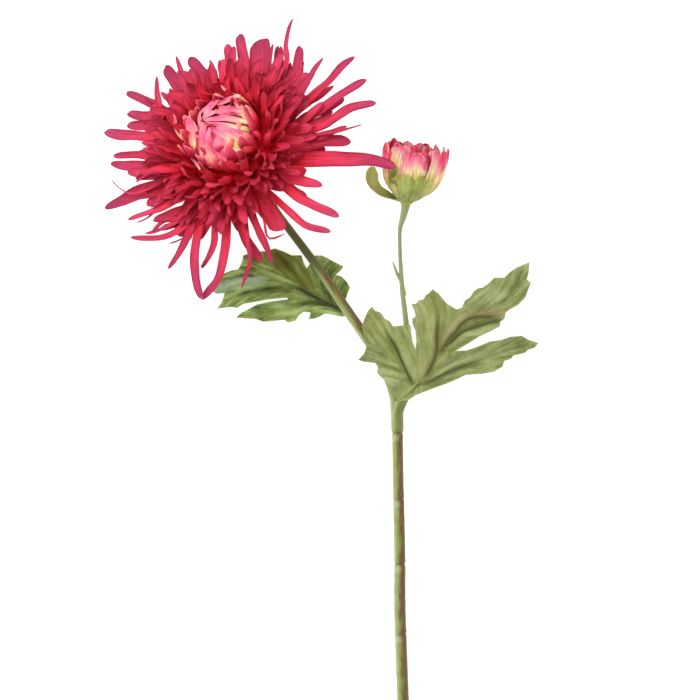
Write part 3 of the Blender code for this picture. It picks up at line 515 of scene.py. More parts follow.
centre = {
    "dome": [(0, 14.3), (14.5, 14.3), (15.6, 17), (15.6, 20.5), (13.2, 25.4), (7.6, 28.8), (0, 30)],
    "rings": [(12, 15, 15.8, 20, 58, 112, 3.2), (8, 10, 20, 11.5, 54, 116, 3.2),
              (5, 4.6, 23.5, 8, 50, 112, 3.2)],
    "extraRing": (10, 16.5, 14.4, 19, 64, 104, 2.8),
    # half width and tone of each petal that folds in over the middle, then its points, root first, as
    # travel towards the lean, travel across it, and height over the base plane. Tone 0 is olive and cream
    # along most of the petal, tone 1 is pink.
    "folded": [
        (3, 0.3, -16, -4.5, 23, -12, -2.5, 27, -8, -0.5, 31, -1, 2, 33),
        (2.2, 0.45, -17.5, -2.5, 23, -14, 0.5, 26, -10.5, 4.5, 28, -5.5, 7, 30),
        (1.6, 0.6, -20, 3, 21, -16, 6.5, 23, -12.5, 10.5, 24, -8.5, 15, 23),
        (1.8, 0.65, -8, 11, 26, -4.5, 10, 29, -1.5, 7, 31, 1, 2, 33),
        (1.4, 0.45, -9.5, -11.5, 25, -6, -8, 29, -1.5, -4, 32, 5.5, 1.5, 32),
        (1.9, 0.6, -7, -14.5, 24, -3, -11.5, 28, 1.5, -5.5, 32.5, 10.5, 2, 29),
        (1.7, 0.4, 2, -18, 20, 3, -14, 25, 4.5, -10, 29, 7, -4.5, 31),
        (2.3, 0.3, 12, -19.5, 20, 9.5, -15.5, 24, 8, -11, 28, 8.5, -7, 31),
        (1.5, 0.3, -6, -15, 18, 0, -18.5, 21, 8, -19.5, 22, 16.5, -17, 23),
        (2, 0.5, 18, 0.5, 26, 15.5, -3, 28, 13.5, -6.5, 30, 11.5, -10, 31),
        (1.7, 0.85, 8, -9.5, 26, 11.5, -9.5, 28, 15, -10, 29, 18, -10, 30),
        (2.3, 0.7, 14, -17, 20, 16.5, -17, 23, 19.5, -16.5, 25, 22, -16.5, 27),
        (1.8, 0.35, 9, 13, 20, 14.5, 15.5, 23, 20, 15, 26, 25.5, 11, 29),
        (4.4, 0.5, 7, 16, 21, 11, 13, 25, 15, 10, 28, 19.5, 8, 31),
        (1.8, 0.55, -4, 19, 18, 0, 19, 20, 3.5, 18.5, 22, 8.5, 18.5, 23),
        (2, 0.25, -5.5, -13, 21, -2.5, -15, 25, 2, -16, 28, 8, -15.5, 30),
        (2.4, 0.8, -11.5, 10, 23.5, -8.5, 7.5, 27.5, -5.5, 4.5, 30, -3, 0, 31.5),
        (2.4, 0.2, -17, 2, 22.5, -14, 2.5, 25, -10.5, 2.5, 28, -6.5, 1.5, 31),
        (2.3, 0.7, -15, 9, 21.5, -12.5, 7.5, 24.5, -10, 6, 27, -7, 4.5, 29.5),
        (2.2, 0.3, -17, 5, 21, -14.5, 4.5, 23, -12, 4, 26, -9.5, 2.5, 28),
        (2.4, 0.75, -6.5, 15.5, 22, -2.5, 14, 24.5, 1.5, 11.5, 27, 5.5, 7.5, 28.5),
        (2.3, 0.9, -10, -9, 25, -7.5, -6.5, 28.5, -4, -3.5, 31, 0.5, -0.5, 32),
        (2.5, 0.3, -13, -9, 23, -10.5, -7.5, 26, -8, -5.5, 28.5, -4.5, -4.5, 30.5),
        (2.3, 0.5, 9, 5, 25, 12.5, 4, 28, 15, 0.5, 29.5, 14.5, -4, 30.5),
        (2.2, 0.55, 11, 0.5, 28, 13.5, -2, 30, 14.5, -6, 30.5, 13.5, -10, 30),
        (2.2, 0.45, 9, -19, 26, 10.5, -16, 28, 11.5, -12, 29.5, 12.5, -7.5, 30),
        (2.2, 0.6, -1.5, -16, 27, 2, -13.5, 29.5, 4.5, -9.5, 31, 6, -5, 32),
    ],
    # wider ones that close the gaps between the others
    "under": [
        (3.4, 0.85, 13.5, 7, 22, 14, 3, 26.5, 12, -1.5, 29, 8.5, -6, 30),
        (3.2, 0.7, -3, 15, 22, 0, 12, 26.5, 4.5, 8, 29.2, 9.5, 3, 30),
        (3, 0.8, 4, -16, 22.5, 5, -12, 27, 5, -7, 29.8, 4, -1, 31),
    ],
    "foot": (11.5, 17),  # radius and height at which the folded petals start
    "middle": (0, 0, 8), "foldPointed": 0.5,
    "look": {
        **petalLook, "grid": (17, 9), "foot": 0.55, "tip": 0.28, "round": 0.6, "roll": (1, 1.2),
        "wave": 0.3, "waves": 1.2, "ripple": 0.3, "ripples": 2, "torn": 0.06, "curl": (-8, 14),
        "pointed": (0, 0.6),
    },
}


def outerPetal(form, petal, rng, own):
    # A long petal that follows its own path out from the root ring, arched, drooping to its tip
    halfWidth, pointed, tipHeight, *plan = petal
    rootOut, rootUp = bloom["root"]
    plan = np.reshape(plan, (-1, 2))
    plan = np.array([plan[0] * rootOut / math.hypot(*plan[0]), *plan])
    travel = travelled(plan)
    share = travel / travel[-1]
    height = rootUp + (tipHeight - rootUp) * share ** 2 + bloom["arch"] * np.sin(math.pi * share)
    twist = rng.uniform(-bloom["twist"], bloom["twist"])
    spine = pathSpine(bloom["long"], np.column_stack((plan, height)))
    blade(form, bloom["long"], spine, halfWidth * bloom["full"], own, twist, pointed)


def petalPaint(name, stops, edge, streak, roughness, sheen, outShare=0, shift=0):
    # outShare is how much the colour follows the place on the head, and shift how much it moves along
    # the petal from one petal to the next
    paint = Paint(name, roughness, sheen, 0.1, edge)
    across, along, tone = paint.mark("petalMap")
    acrossMm, alongMm, outness = paint.mark("petalSize")
    wobble = paint.noise((across * 1.5, along * 2, tone * 90), 1.6, 2)
    place = along * (1 - outShare) + outness * outShare + (tone - 0.5) * shift
    body = paint.ramp(paint.maths("ADD", place, (wobble - 0.5) * 0.3, clamp=True), *stops)
    # lengthwise streaks of the dye, much longer than they are wide
    grain = paint.noise((acrossMm * 1.7, alongMm * 0.09, tone * 61), 1, 4, 0.6)
    shade = paint.between(grain, 0.32, 0.68) * (streak * 2) + (1 - streak)
    shade = shade * (tone * 0.34 + 0.83)
    body = paint.mix(1, body, paint.grey(shade), "MULTIPLY")
    # At the edges the colour turns to the edge colour: on the crimson petals a dark red that is partly
    # painted shade where the edges curve down, on the pale, blush and bud petals a paler edge of their own
    # colour.
    rim = paint.between(across * across, 0.42, 1) * paint.between(along, 0.2, 0.8) * (grain * 0.6 + 0.45)
    body = paint.mix(rim, body, edge)
    # woven cloth, pressed with fine lengthwise lines
    warp = paint.sine(acrossMm * 21)
    weft = paint.sine(alongMm * 21)
    lines = paint.sine(acrossMm * 5.2 + grain * 3)
    height = warp * weft * 0.02 + lines * 0.09 + grain * 0.3
    normal = paint.bump(height, 0.5, 0.5)
    return paint.feed(colour=body, normal=normal, roughness=grain * 0.18 + (roughness - 0.08))


# The crimson is brightest towards the roots and the head's axis: partly the cloth's own colour, partly
# painted light that lifts the shade among the dense inner petals.
crimson = petalPaint(
    "crimsonPetal",
    [(0, (0.58, 0.004, 0.01)), (0.3, (0.68, 0.026, 0.048)), (0.62, (0.55, 0.038, 0.086)),
     (1, (0.385, 0.04, 0.108))],
    # dark red edge colour, partly painted shade on the down-curving edges
    (0.3, 0.006, 0.022), 0.22, 0.66, 0.04, 0.55)
pale = petalPaint(
    "palePetal",
    [(0, (0.42, 0.38, 0.04)), (0.26, (0.7, 0.6, 0.16)), (0.45, (0.95, 0.72, 0.44)),
     (0.62, (0.9, 0.3, 0.34)), (0.8, (0.8, 0.1, 0.22)), (1, (0.86, 0.2, 0.3))],
    (0.9, 0.4, 0.42), 0.3, 0.62, 0.03, shift=0.75)
blush = petalPaint(
    "blushPetal",
    [(0, (0.55, 0.006, 0.018)), (0.5, (0.7, 0.03, 0.07)), (0.82, (0.8, 0.09, 0.16)),
     (1, (0.88, 0.34, 0.24))],
    (0.84, 0.16, 0.24), 0.24, 0.62, 0.04, shift=0.4)

rng = random.Random(11)
own = random.Random(29)
spare = random.Random(5)
bloomHead = Head(bloom["place"], bloom["lean"], bloom["azimuth"])
bractJitter = [rng.uniform(-bloom["bractJitter"], bloom["bractJitter"]) for _ in range(bloom["bracts"])]

petals = Form(bloomHead)
turnedForm(petals, bloom["core"], 40, 0)
for key, places in (("outer", rng), ("extraOuter", own)):
    for petal in bloom[key]:
        outerPetal(petals, petal, places, own)
for rows, places, midRows, spread in (("rows", rng, 2, 1), ("extraRows", own, 3, 1.6)):
    for number, (row, shorter) in enumerate(bloom[rows]):
        ringOfBlades(petals, row, bloom["mid" if number < midRows else "short"], places, own,
                     spread, shorter=shorter, slim=bloom["slim"])
for petal in bloom["lastOuter"]:
    outerPetal(petals, petal, spare, spare)
makePiece("crimsonPetals", petals, crimson, ["bloom_petals"])

eyeRing = Form(bloomHead)
turnedForm(eyeRing, centre["dome"], 32, 0.9)
for row in centre["rings"]:
    ringOfBlades(eyeRing, row, centre["look"], rng, own, spread=0.5)
ringOfBlades(eyeRing, centre["extraRing"], centre["look"], own, own, spread=1.2)
makePiece("eyeRing", eyeRing, blush, ["bloom_centre"])
eye = Form(bloomHead)
footOut, footUp = centre["foot"]
for draws, folds in ((own, centre["folded"]), (spare, centre["under"])):
    for halfWidth, tone, *points in folds:
        points = np.reshape(points, (-1, 3))
        foot = (*points[0][:2] * footOut / math.hypot(*points[0][:2]), footUp)
        blade(eye, centre["look"], pathSpine(centre["look"], [foot, *points], centre["middle"]),
              halfWidth, draws, 0, draws.uniform(0, centre["foldPointed"]), tone)
makePiece("eyeFolds", eye, pale)


# Half-open bud

bud = {
    "place": (2.5, 97.4, 35), "lean": 78, "azimuth": 83.5, "slim": 0.84,
    "core": [(0, 2.3), (4.5, 3.4), (7.6, 5.2), (10, 7.2), (12.4, 11.5), (13, 16), (12, 20),
             (8.5, 22.5), (0, 22.8)],
    "rows": [(9, 3, 2.8, 30, -4, 104, 4.8), (8, 5, 9, 20.5, 50, 98, 4)],
    "extraRows": [(12, 3.6, 3.4, 29, 2, 104, 3.6), (9, 7, 12, 16, 62, 104, 2.8),
                  (8, 4, 16, 12, 70, 96, 2.6)],
    "bend": 0.52,
    "hookedRoot": (3, 2.4),
    # azimuth, line (length, rise at root and tip, bend) and half width of those that bulge on the right
    "hooked": [(228, (32, -6, 104, 0.56), 2.8), (246, (33, -8, 102, 0.58), 3),
               (264, (34, -10, 104, 0.6), 3), (286, (33, -6, 104, 0.58), 3.2),
               (112, (29, -4, 102, 0.54), 3)],
    "look": {
        **petalLook, "grid": (19, 9), "round": 0.45, "blunt": 0.12, "roll": (0.8, 1), "ripple": 0.5,
        "ripples": 2, "torn": 0.1, "turn": 16, "curl": (-14, 26), "pointed": (0, 0.45), "crease": 0.1,
    },
    "paleTo": 22,  # height at which the core is as pale as the tips
    "cup": [(0, -3), (1.9, -3), (2.4, -1.2), (4.4, 0.6), (7.4, 3), (7.2, 3.8), (5, 2.4), (0, 1.7)],
    # azimuth, root, line, half width, twist and tone; the last one stands off to the left
    "sepals": [
        (20, (3.2, 1), (14, -10, 76, 0.5), 3.2, 0, 0.2), (136, (3.2, 1), (13, -10, 76, 0.5), 3.4, 0, 0.6),
        (172, (3.2, 1), (20.5, -10, 76, 0.5), 4.4, 0, 0.25), (204, (3.2, 1), (20, -10, 76, 0.5), 3.4, 0, 0),
        (232, (3.2, 1), (17.5, -10, 76, 0.5), 4, 0, 0.55), (268, (3.2, 1), (14, -10, 76, 0.5), 3.4, 0, 0.3),
        (320, (3.2, 1), (14, -10, 76, 0.5), 3.2, 0, 0.2), (90, (1, -0.4), (29, 8, 130, 2.2), 4.4, 55, 1),
    ],
    "sepalLook": {
        **petalLook, "grid": (16, 9), "foot": 0.42, "tip": 0.3, "blunt": 0.12, "roll": (0.9, 1),
        "wave": 0.3, "waves": 1, "ripple": 0.35, "ripples": 2, "thickness": 0.5, "torn": 0.05, "turn": 8,
        "crease": 0.15,
    },
}

budColour = petalPaint(
    "budPetal",
    [(0, (0.13, 0.17, 0.02)), (0.3, (0.26, 0.26, 0.04)), (0.5, (0.52, 0.44, 0.12)),
     (0.64, (0.76, 0.54, 0.3)), (0.8, (0.7, 0.22, 0.27)), (0.92, (0.6, 0.09, 0.17)),
     (1, (0.52, 0.04, 0.09))],
    (0.8, 0.42, 0.38), 0.3, 0.6, 0.04, shift=0.4)


def greenPaint(name, dark, mid, light, roughness):
    paint = Paint(name, roughness, 0.12, 0.3)
    across, along, tone = paint.mark("petalMap")
    acrossMm, alongMm, _ = paint.mark("petalSize")
    grain = paint.noise((acrossMm * 1.1, alongMm * 0.1, tone * 40), 1, 4)
    blotch = paint.noise(paint.place(), 220, 3)
    mixed = paint.maths("ADD", grain * 0.6, blotch * 0.5, clamp=True)
    body = paint.ramp(mixed, (0.4, dark), (0.54, mid), (0.68, light))
    pale = paint.between(along, 0.2, 0.7) * (tone * 0.8 + 0.1)
    body = paint.mix(pale, body, (0.52, 0.52, 0.17))
    lines = paint.sine(acrossMm * 6 + grain * 3)
    return paint.feed(colour=body, normal=paint.bump(lines * 0.2 + grain, 0.3, 0.4))


budHead = Head(bud["place"], bud["lean"], bud["azimuth"])
wraps = Form(budHead)
turnedForm(wraps, bud["core"], 36, 0, 1 / bud["paleTo"])
for row in bud["rows"]:
    ringOfBlades(wraps, row, bud["look"], rng, own, 0.4, bud["bend"], slim=bud["slim"])
for row in bud["extraRows"]:
    ringOfBlades(wraps, row, bud["look"], own, own, 1, bud["bend"])
for azimuth, line, halfWidth in bud["hooked"]:
    spine = risingSpine(bud["look"], azimuth, bud["hookedRoot"], 0, *line)
    blade(wraps, bud["look"], spine, halfWidth, own)
makePiece("budWraps", wraps, budColour, ["bud_petals"])

calyxGreen = greenPaint("calyxGreen", (0.095, 0.125, 0.012), (0.2, 0.24, 0.032), (0.34, 0.36, 0.07), 0.5)
budGreen = Form(budHead)
turnedForm(budGreen, bud["cup"], 32, 0.2)
for azimuth, root, line, halfWidth, twist, tone in bud["sepals"]:
    spine = risingSpine(bud["sepalLook"], azimuth, root, 0, *line)
    blade(budGreen, bud["sepalLook"], spine, halfWidth, own, twist, ownTone=tone)
makePiece("budSepals", budGreen, calyxGreen, ["bud_calyx"])


# Green cup behind the bloom

cup = {
    "profile": [(0, -13.2), (3.3, -13.2), (4, -9.4), (6, -6.6), (9, -3.4), (10.4, -0.9), (9.6, -0.3),
                (0, -0.3)],
    # turn from the rule, root, line and half width of the outer and of the inner bracts
    "rings": [(0, (6, -6.2), (12.5, 40, 4), 2.2), (16, (4.8, -8.6), (11, 52, 22), 1.9)],
}
bracts = Form(bloomHead)
turnedForm(bracts, cup["profile"], 36, 0.2)
for i, jitter in enumerate(bractJitter):
    azimuth = 360 * (i + jitter) / bloom["bracts"]
    for turn, root, line, halfWidth in cup["rings"]:
        spine = risingSpine(bud["sepalLook"], azimuth + turn, root, 0, *line)
        blade(bracts, bud["sepalLook"], spine, halfWidth, own)
makePiece("bloomCup", bracts, calyxGreen, ["bloom_calyx"])


# Stem, branch and bract

stem = {
    # x, y, height of the centre line, radius
    "main": [
        (3, -180.5, 2.92, 3.05), (2.5, -166, 2.92, 3), (1.5, -149.5, 2.92, 2.95),
        (0.5, -120, 2.95, 2.9), (0, -100, 2.95, 2.9), (0, -80, 3.05, 2.8), (-0.5, -55, 3.3, 2.75),
        (-1, -35, 3.6, 2.7), (-1.4, -10, 4.6, 2.75), (-1.6, -3, 5, 3), (-2.2, 1.5, 5.4, 3),
        (-5.9, 12, 7, 2.7), (-13.2, 25.4, 9, 2.6), (-23.9, 41.2, 10.5, 2.5), (-38.5, 62.4, 11.6, 2.2),
        (-47.8, 75.2, 12.3, 2.05), (-54.2, 83.6, 12.9, 2), (-60.9, 92.6, 14, 2),
        (-66.5, 102, 16, 2.2),
    ],
    "intoCup": 13.5, "neck": 7.5, "neckRadii": (2.6, 2.9),  # where the stem meets the cup
    # y of each seam in the coating and how deep it is, the swelling beside it (height, reach) and its
    # width; where the collar at the fork starts and ends and how much thicker it is
    "seams": [(-152, 0.22), (-117, 0.2), (-82, 0.45), (-49.5, 0.2), (-16.5, 0.3)],
    "swelling": (0.15, 2.2), "seamWidth": 0.7, "collar": (-15.5, 0, 0.35),
    "branch": [
        (-1.5, -1.5, 5.4, 1.6), (1, 5, 6.6, 1.6), (3.5, 14, 7.6, 1.5), (4, 25, 8.6, 1.45),
        (3, 37.5, 10.8, 1.4), (1, 54.5, 15.4, 1.25), (0, 68.5, 21.2, 1.05), (-0.4, 76.5, 26, 1),
        (-0.4, 84, 30.8, 1.05), (1, 89.6, 33.3, 1.6), (2.1, 94.2, 34.4, 2),
        (2.4, 96.2, 34.8, 2.2),
    ],
    "petiole": [(-1.4, -8.5, 5.5, 2.6), (-0.6, -4, 6.6, 2.9), (1.4, 0.4, 8.6, 2.8), (4.6, 3.8, 9.9, 1.9),
                (7.8, 7.4, 10.4, 0.9), (10, 9.8, 10.6, 0.4)],
    "bract": [(2.2, 52, 14.6), (0.5, 58.5, 17.4), (-1.6, 62.5, 19.2), (-3.8, 68.5, 21.4)],
    "bractWidths": (0.9, 1, 0.8, 0.35),
    # colours of the two coats from left to right; each is lighter at the left, painted light falling from
    # that side, and lighter at both edges, painted sheen, and darkest from the middle to the right
    "green": [(0.38, 0.41, 0.2), (0.25, 0.28, 0.09), (0.14, 0.155, 0.03), (0.15, 0.15, 0.04),
              (0.24, 0.22, 0.1)],
    "brown": [(0.32, 0.26, 0.14), (0.21, 0.14, 0.06), (0.12, 0.058, 0.012), (0.11, 0.052, 0.012),
              (0.16, 0.095, 0.03)],
}


def stemPaint(name, brownShare, pale):
    paint = Paint(name, 0.48, 0.03, 0.3)
    sideways, upward, along = paint.mark("stemMap")
    rough = paint.noise((sideways * 0.6, upward * 0.6, along * 0.7), 2.2, 4)
    fine = paint.noise((sideways * 5, upward * 5, along * 1.6), 3, 5)
    # across the stem each coat is lighter at the left and at both edges: painted light from the left and
    # painted sheen at the edges
    around = paint.maths("ADD", sideways * 0.5 + 0.5, (rough - 0.5) * 0.5, clamp=True)
    green, brown = (paint.ramp(around, *zip((0, 0.25, 0.5, 0.8, 1), stem[coat]))
                    for coat in ("green", "brown"))
    # the darker coat lies in patches on the right half of the stem
    y = paint.parts(paint.place())[1] * (1 / mm) - fork[1]
    bare = paint.between(y, -18, -15) - paint.between(y, 10, 22)
    coat = paint.between(sideways * 0.6 + (rough - 0.5) * 1.5, -0.15, 0.35) * (1 - bare) * brownShare
    top = paint.between(y, 58, 72) * brownShare
    body = paint.mix(coat * (1 - top), green, brown)
    body = paint.mix(pale, body, (0.34, 0.36, 0.2))
    body = paint.mix(top * 0.85, body, (0.055, 0.07, 0.008))
    body = paint.mix(1, body, paint.grey(fine * 0.8 + 0.6), "MULTIPLY")
    for place, depth in stem["seams"]:
        off = paint.maths("ABSOLUTE", y - place)
        body = paint.mix((1 - paint.between(off, 0.2, 0.9)) * depth * 1.2, body, (0.05, 0.055, 0.02))
        # painted highlight: a pale glint just below each seam, on the lit left side of the stem
        below = paint.maths("ABSOLUTE", y - (place - 2.6))
        glint = (1 - paint.between(below, 0.5, 2.4)) * paint.between(sideways, 0.5, -0.4)
        body = paint.mix(glint * fine * 0.75, body, (0.5, 0.52, 0.36))
    normal = paint.bump(fine + rough * 0.6, 0.35, 0.5)
    return paint.feed(colour=body, normal=normal, roughness=fine * 0.3 + 0.28)


def stemPath():
    # The centre line at small steps, with the collar and seams worked into the radius
    axis = bloomHead.turn[:, 2]
    top = bloomHead.place - axis * stem["intoCup"]
    neck, cupEnd = stem["neckRadii"]
    path = smoothPath([*stem["main"], (*(top - axis * stem["neck"]), neck), (*top, cupEnd)], 0.6)
    y = path[:, 1]
    low, high, extra = stem["collar"]
    path[:, 3] += extra / ((1 + np.exp((low - y) / 0.5)) * (1 + np.exp((y - high) / 1.5)))
    swelling, reach = stem["swelling"]
    for place, depth in stem["seams"]:
        path[:, 3] += swelling * bell(y - place, reach)
        path[:, 3] -= (depth + swelling) * bell(y - place, stem["seamWidth"])
    return path


def stemShape(around, along):
    return (1 + 0.018 * np.sin(3 * around + 0.05 * along) + 0.012 * np.sin(7 * around - 0.11 * along)
            + 0.008 * np.sin(0.9 * along + 2 * around))


stemGreen = stemPaint("stemCoat", 1, 0)
branchGreen = stemPaint("branchCoat", 0, 0.5)
mainStem = Form()
tubeForm(mainStem, stemPath(), 30, stemShape)
tubeForm(mainStem, smoothPath(stem["petiole"], 0.6), 24, stemShape)
makePiece("mainStem", mainStem, stemGreen, ["stem"])
budBranch = Form()
tubeForm(budBranch, smoothPath(stem["branch"], 0.8), 20, stemShape)
makePiece("budBranch", budBranch, branchGreen)


# Leaves

leaf = {
    "thickness": 0.45, "edge": 0.2, "channel": 1.3, "channelReach": 6, "groove": 0.7,
    # spacing of the points: over the blade, along the edge, at least, and in from the edge; and how far
    # to the sides of a rib its extra points lie
    "step": 1.15, "edgeStep": 1.2, "apart": 0.62, "inset": 0.55, "besideRib": (0, 0.7, -0.7, 1.4, -1.4),
    "cell": 0.7, "slant": 0.17,  # size of a search cell, and how far the streaks slant to the ribs
    # x and y of the outline's corners, one after another
    "right": [
        -3.5, 1.5, -4.5, 4.5, -6.5, 8.5, -9.5, 11.5, -11.5, 13.5, -11, 16.5, -12.5, 18.5, -18, 19, -21, 20,
        -18, 23, -16.5, 27, -18, 32, -19, 37, -17.5, 41, -16, 44.5, -14, 46.5, -12.5, 44.5, -9.5, 43.5,
        -7.5, 40.5, -5, 39, -3.5, 36.5, 0, 37, 5, 37.5, 5.5, 33, 6, 29, 7.5, 25, 8, 29, 7.5, 34.5, 6, 38,
        6, 40.5, 7.5, 41.5, 7, 44.5, 5.5, 47.5, 8, 48, 9, 49.5, 11.5, 50, 12.5, 52, 14, 53, 16, 55, 19, 53,
        22.5, 48.5, 26, 46, 28, 45, 30.5, 46, 32, 49.5, 34.5, 51, 36.5, 54, 38.5, 55.5, 41, 56, 44.5, 58.5,
        47, 61, 52, 61, 54.5, 63.5, 58, 66, 61.5, 67.5, 65, 69, 64.5, 63.5, 63.5, 60, 65.5, 58.5, 64, 55,
        62.5, 51, 59, 47.5, 54.5, 45, 52.5, 43.5, 52, 40.5, 50, 39, 49.5, 36.5, 44.5, 34, 39, 31.5, 33.5,
        28, 27.5, 24.5, 32.5, 24.5, 38.5, 26.5, 44.5, 29, 50.5, 30, 55, 31.5, 61, 32, 64.5, 30, 69.5, 28.5,
        67.5, 26, 64, 25, 62.5, 23.5, 56.5, 22, 55.5, 20.5, 52, 19.5, 51, 16.5, 46.5, 14, 40.5, 13, 32.5,
        12.5, 28.5, 10.5, 22.5, 8, 15.5, 5.5, 8, 2.5, 4, 0, 1.5, -0.5, -1.5, -0.5, -3.2, 0.5,
    ],
    # for each rib: how dark its line is (painted shade in the crease along it, which also sets the painted
    # shade band on its shaded side and the painted highlight band on the other), half its width, the shares
    # of its length between which it shows, the side that gets the painted shade and drops (1 left, -1
    # right) and how far it drops, how much the other side is tinged, and how olive the blade is there; then
    # x, y and height of its points
    "rightRibs": [
        ((1, 0.9, 0, 0.75, 1, 0.3, 0, 0.3),
         7, 7.5, 9.6, 4, 12.5, 12, 1, 19, 13.2, -2, 26, 13.8, -6, 32.5, 13.6, -10, 40, 12.2, -14, 45.5, 10),
        ((0.1, 0.9, 0, 1, 1, 0, 0, 0),
         4, 12.5, 12, -4, 16, 12.4, -12, 18, 12.2, -19.5, 20, 10),
        ((0.85, 1.4, 0.08, 0.85, -1, 0.4, 0.15, 0.4),
         8.5, 7, 9.6, 12, 11, 11.8, 15.5, 17, 13.6, 18, 24, 15, 18, 32.5, 16.8, 18.5, 40, 17, 18, 45, 16,
         15.5, 53.5, 13),
        ((1, 1.1, 0.1, 1, -1, 2.4, 0.9, 0.2),
         16, 17.5, 13.8, 20, 24, 15.2, 24.5, 31, 16.2, 27.5, 34, 16.2, 30.5, 38, 15.8, 35, 40.5, 14.8,
         42.5, 41.5, 12.4, 51.5, 41.5, 9.4),
        ((0.75, 0.8, 0, 1, 1, 0, 0, 0),
         24, 27, 13.6, 27.5, 31, 13.2, 31.5, 34, 12.6, 37.5, 36, 11.4, 45, 38.5, 9, 50, 39.5, 7.2),
        ((0.8, 1, 0.35, 0.62, -1, 0.3, 0, 0),
         35, 40.5, 14.8, 42, 44, 12.2, 48.5, 47.5, 9.5, 54, 51.5, 7, 60, 60, 3, 64.5, 67.5, -1.2),
        ((0.95, 1, 0, 0.6, -1, 1.2, 0, 0.1),
         8.5, 7, 9.6, 14, 9, 11.6, 20, 12, 12.6, 27.5, 15.5, 12.4, 37.5, 19, 9.6, 50, 23.5, 6, 60, 26.5,
         2.6, 68.5, 28.5, -1.2),
    ],
    "left": [
        -25.5, 42, -29, 41.5, -33.5, 42.5, -37.5, 43, -40, 41.5, -42.5, 40.5, -45.5, 40, -44.5, 43.5, -48,
        44, -50.5, 42, -52, 39.5, -56, 38.5, -57.5, 40, -62.5, 39.5, -68, 39, -72.5, 40.5, -82, 41, -79.5,
        43.5, -75.5, 45.5, -71.5, 47.5, -64.5, 49, -56, 50, -56, 51, -65, 50.2, -73, 48.8, -78, 48, -81.5,
        46, -84.5, 46.5, -91.5, 45.5, -89, 49, -87.5, 53.5, -92, 53, -96.5, 56.5, -92, 59.5, -88, 63, -84,
        64.5, -80.5, 65, -78.5, 69, -78, 72, -72, 74, -67, 74, -62.5, 75.5, -58, 74, -54, 72, -49, 72, -48,
        68.5, -46.5, 65.5, -45, 67.5, -43.5, 72, -38.5, 72, -33, 69, -28, 66.5, -30, 64, -32, 62.5, -29,
        61.5, -26.5, 59, -25, 56, -26, 53.5, -27, 50, -25, 46,
    ],
    "leftRibs": [
        ((1, 1.3, 0.05, 0.72, -1, 0.4, 0, 0.35),
         -25.5, 43.5, 6.7, -32.5, 46.5, 6.8, -39, 49.5, 6.9, -45, 52.5, 7.6, -51.5, 56, 8.6, -57.5, 58,
         9.4, -64, 60, 9.8, -71, 61.5, 9.6),
        ((0.3, 1.2, 0, 0.6, -1, 0.3, 1, 0),
         -71, 61.5, 9.6, -80, 61.5, 8, -92.5, 57, 1.5),
        ((0.6, 1.1, 0.15, 0.85, 1, 0.6, 0, 0.2),
         -51.5, 56, 8.6, -57.5, 56.2, 8.4, -69, 55.2, 6.6, -77.5, 53.5, 5, -85, 50.5, 1.8, -90.5, 47, -1.6),
        ((0.7, 1.2, 0, 0.6, -1, 0.3, 0, 0),
         -27.5, 43.5, 6.6, -37.5, 47.5, 6, -46, 48, 5.6, -55, 46, 4.6, -65, 44, 3, -75, 42.5, 0.6, -81, 42,
         -1.6),
        ((0.35, 1.2, 0, 1, 1, 0, 0, 1),
         -45, 52.5, 7.6, -50, 60, 8.2, -56, 67.5, 8.2, -62, 73.5, 6.6),
        ((0.45, 1.1, 0, 1, 1, 0, 0.1, 0.1),
         -32.5, 46.5, 6.8, -36, 57, 6.4, -34, 63.5, 5.2, -29.5, 66.5, 4),
        ((0.4, 1, 0, 1, 1, 0, 0, 0),
         -28, 45.5, 6.8, -28, 51, 6.2, -26, 55.5, 3.6),
    ],
}


def gapsTo(points, line):
    # distance of each plan point from a polyline, the third number of the line there, and which side
    # of it the point is on: 1 on its left, -1 on its right
    best = np.full(len(points), 1e9)
    value, side = np.zeros((2, len(points)))
    for a, b in zip(line, line[1:]):
        run = b[:2] - a[:2]
        t = clipped(((points - a[:2]) @ run) / max(run @ run, 1e-9))
        gap = np.linalg.norm(points - a[:2] - t[:, None] * run, axis=1)
        nearer = gap < best
        best = np.where(nearer, gap, best)
        value = np.where(nearer, a[2] + t * (b[2] - a[2]), value)
        left = np.sign(run[0] * (points[:, 1] - a[1]) - run[1] * (points[:, 0] - a[0]))
        side = np.where(nearer, left, side)
    return best, value, side


def insideOutline(points, outline):
    within = np.zeros(len(points), bool)
    for (ax, ay), (bx, by) in zip(outline, np.roll(outline, -1, axis=0)):
        if ay != by:
            crossing = ax + (points[:, 1] - ay) * (bx - ax) / (by - ay)
            within ^= ((ay > points[:, 1]) != (by > points[:, 1])) & (points[:, 0] < crossing)
    return within


def leafHeight(points, ribs, ribGap, edgeGap, along, dropped):
    total, weight = np.zeros((2, len(points)))
    for rib in ribs:
        gap, height, _ = gapsTo(points, rib)
        share = 1 / (gap ** 2 + 0.5) ** 1.5
        total += height * share
        weight += share
    height = total / weight + leaf["channel"] * np.minimum(1, ribGap / leaf["channelReach"])
    height -= leaf["groove"] * bell(ribGap, 0.9)
    # low ridges that leave the ribs at a slant, a wavy margin and a slow swell
    height += 0.2 * np.sin(1.5 * ribGap - 0.4 * along) * np.minimum(1, ribGap / 2)
    height += 0.6 * np.sin(points[:, 0] * 0.5 + points[:, 1] * 0.35) * np.exp(-edgeGap / 2.5)
    height += 0.7 * np.sin(points[:, 0] * 0.33 - 1) * np.sin(points[:, 1] * 0.29 + 0.6) - dropped
    return np.maximum(height, leaf["thickness"] / 2 + floorGap)


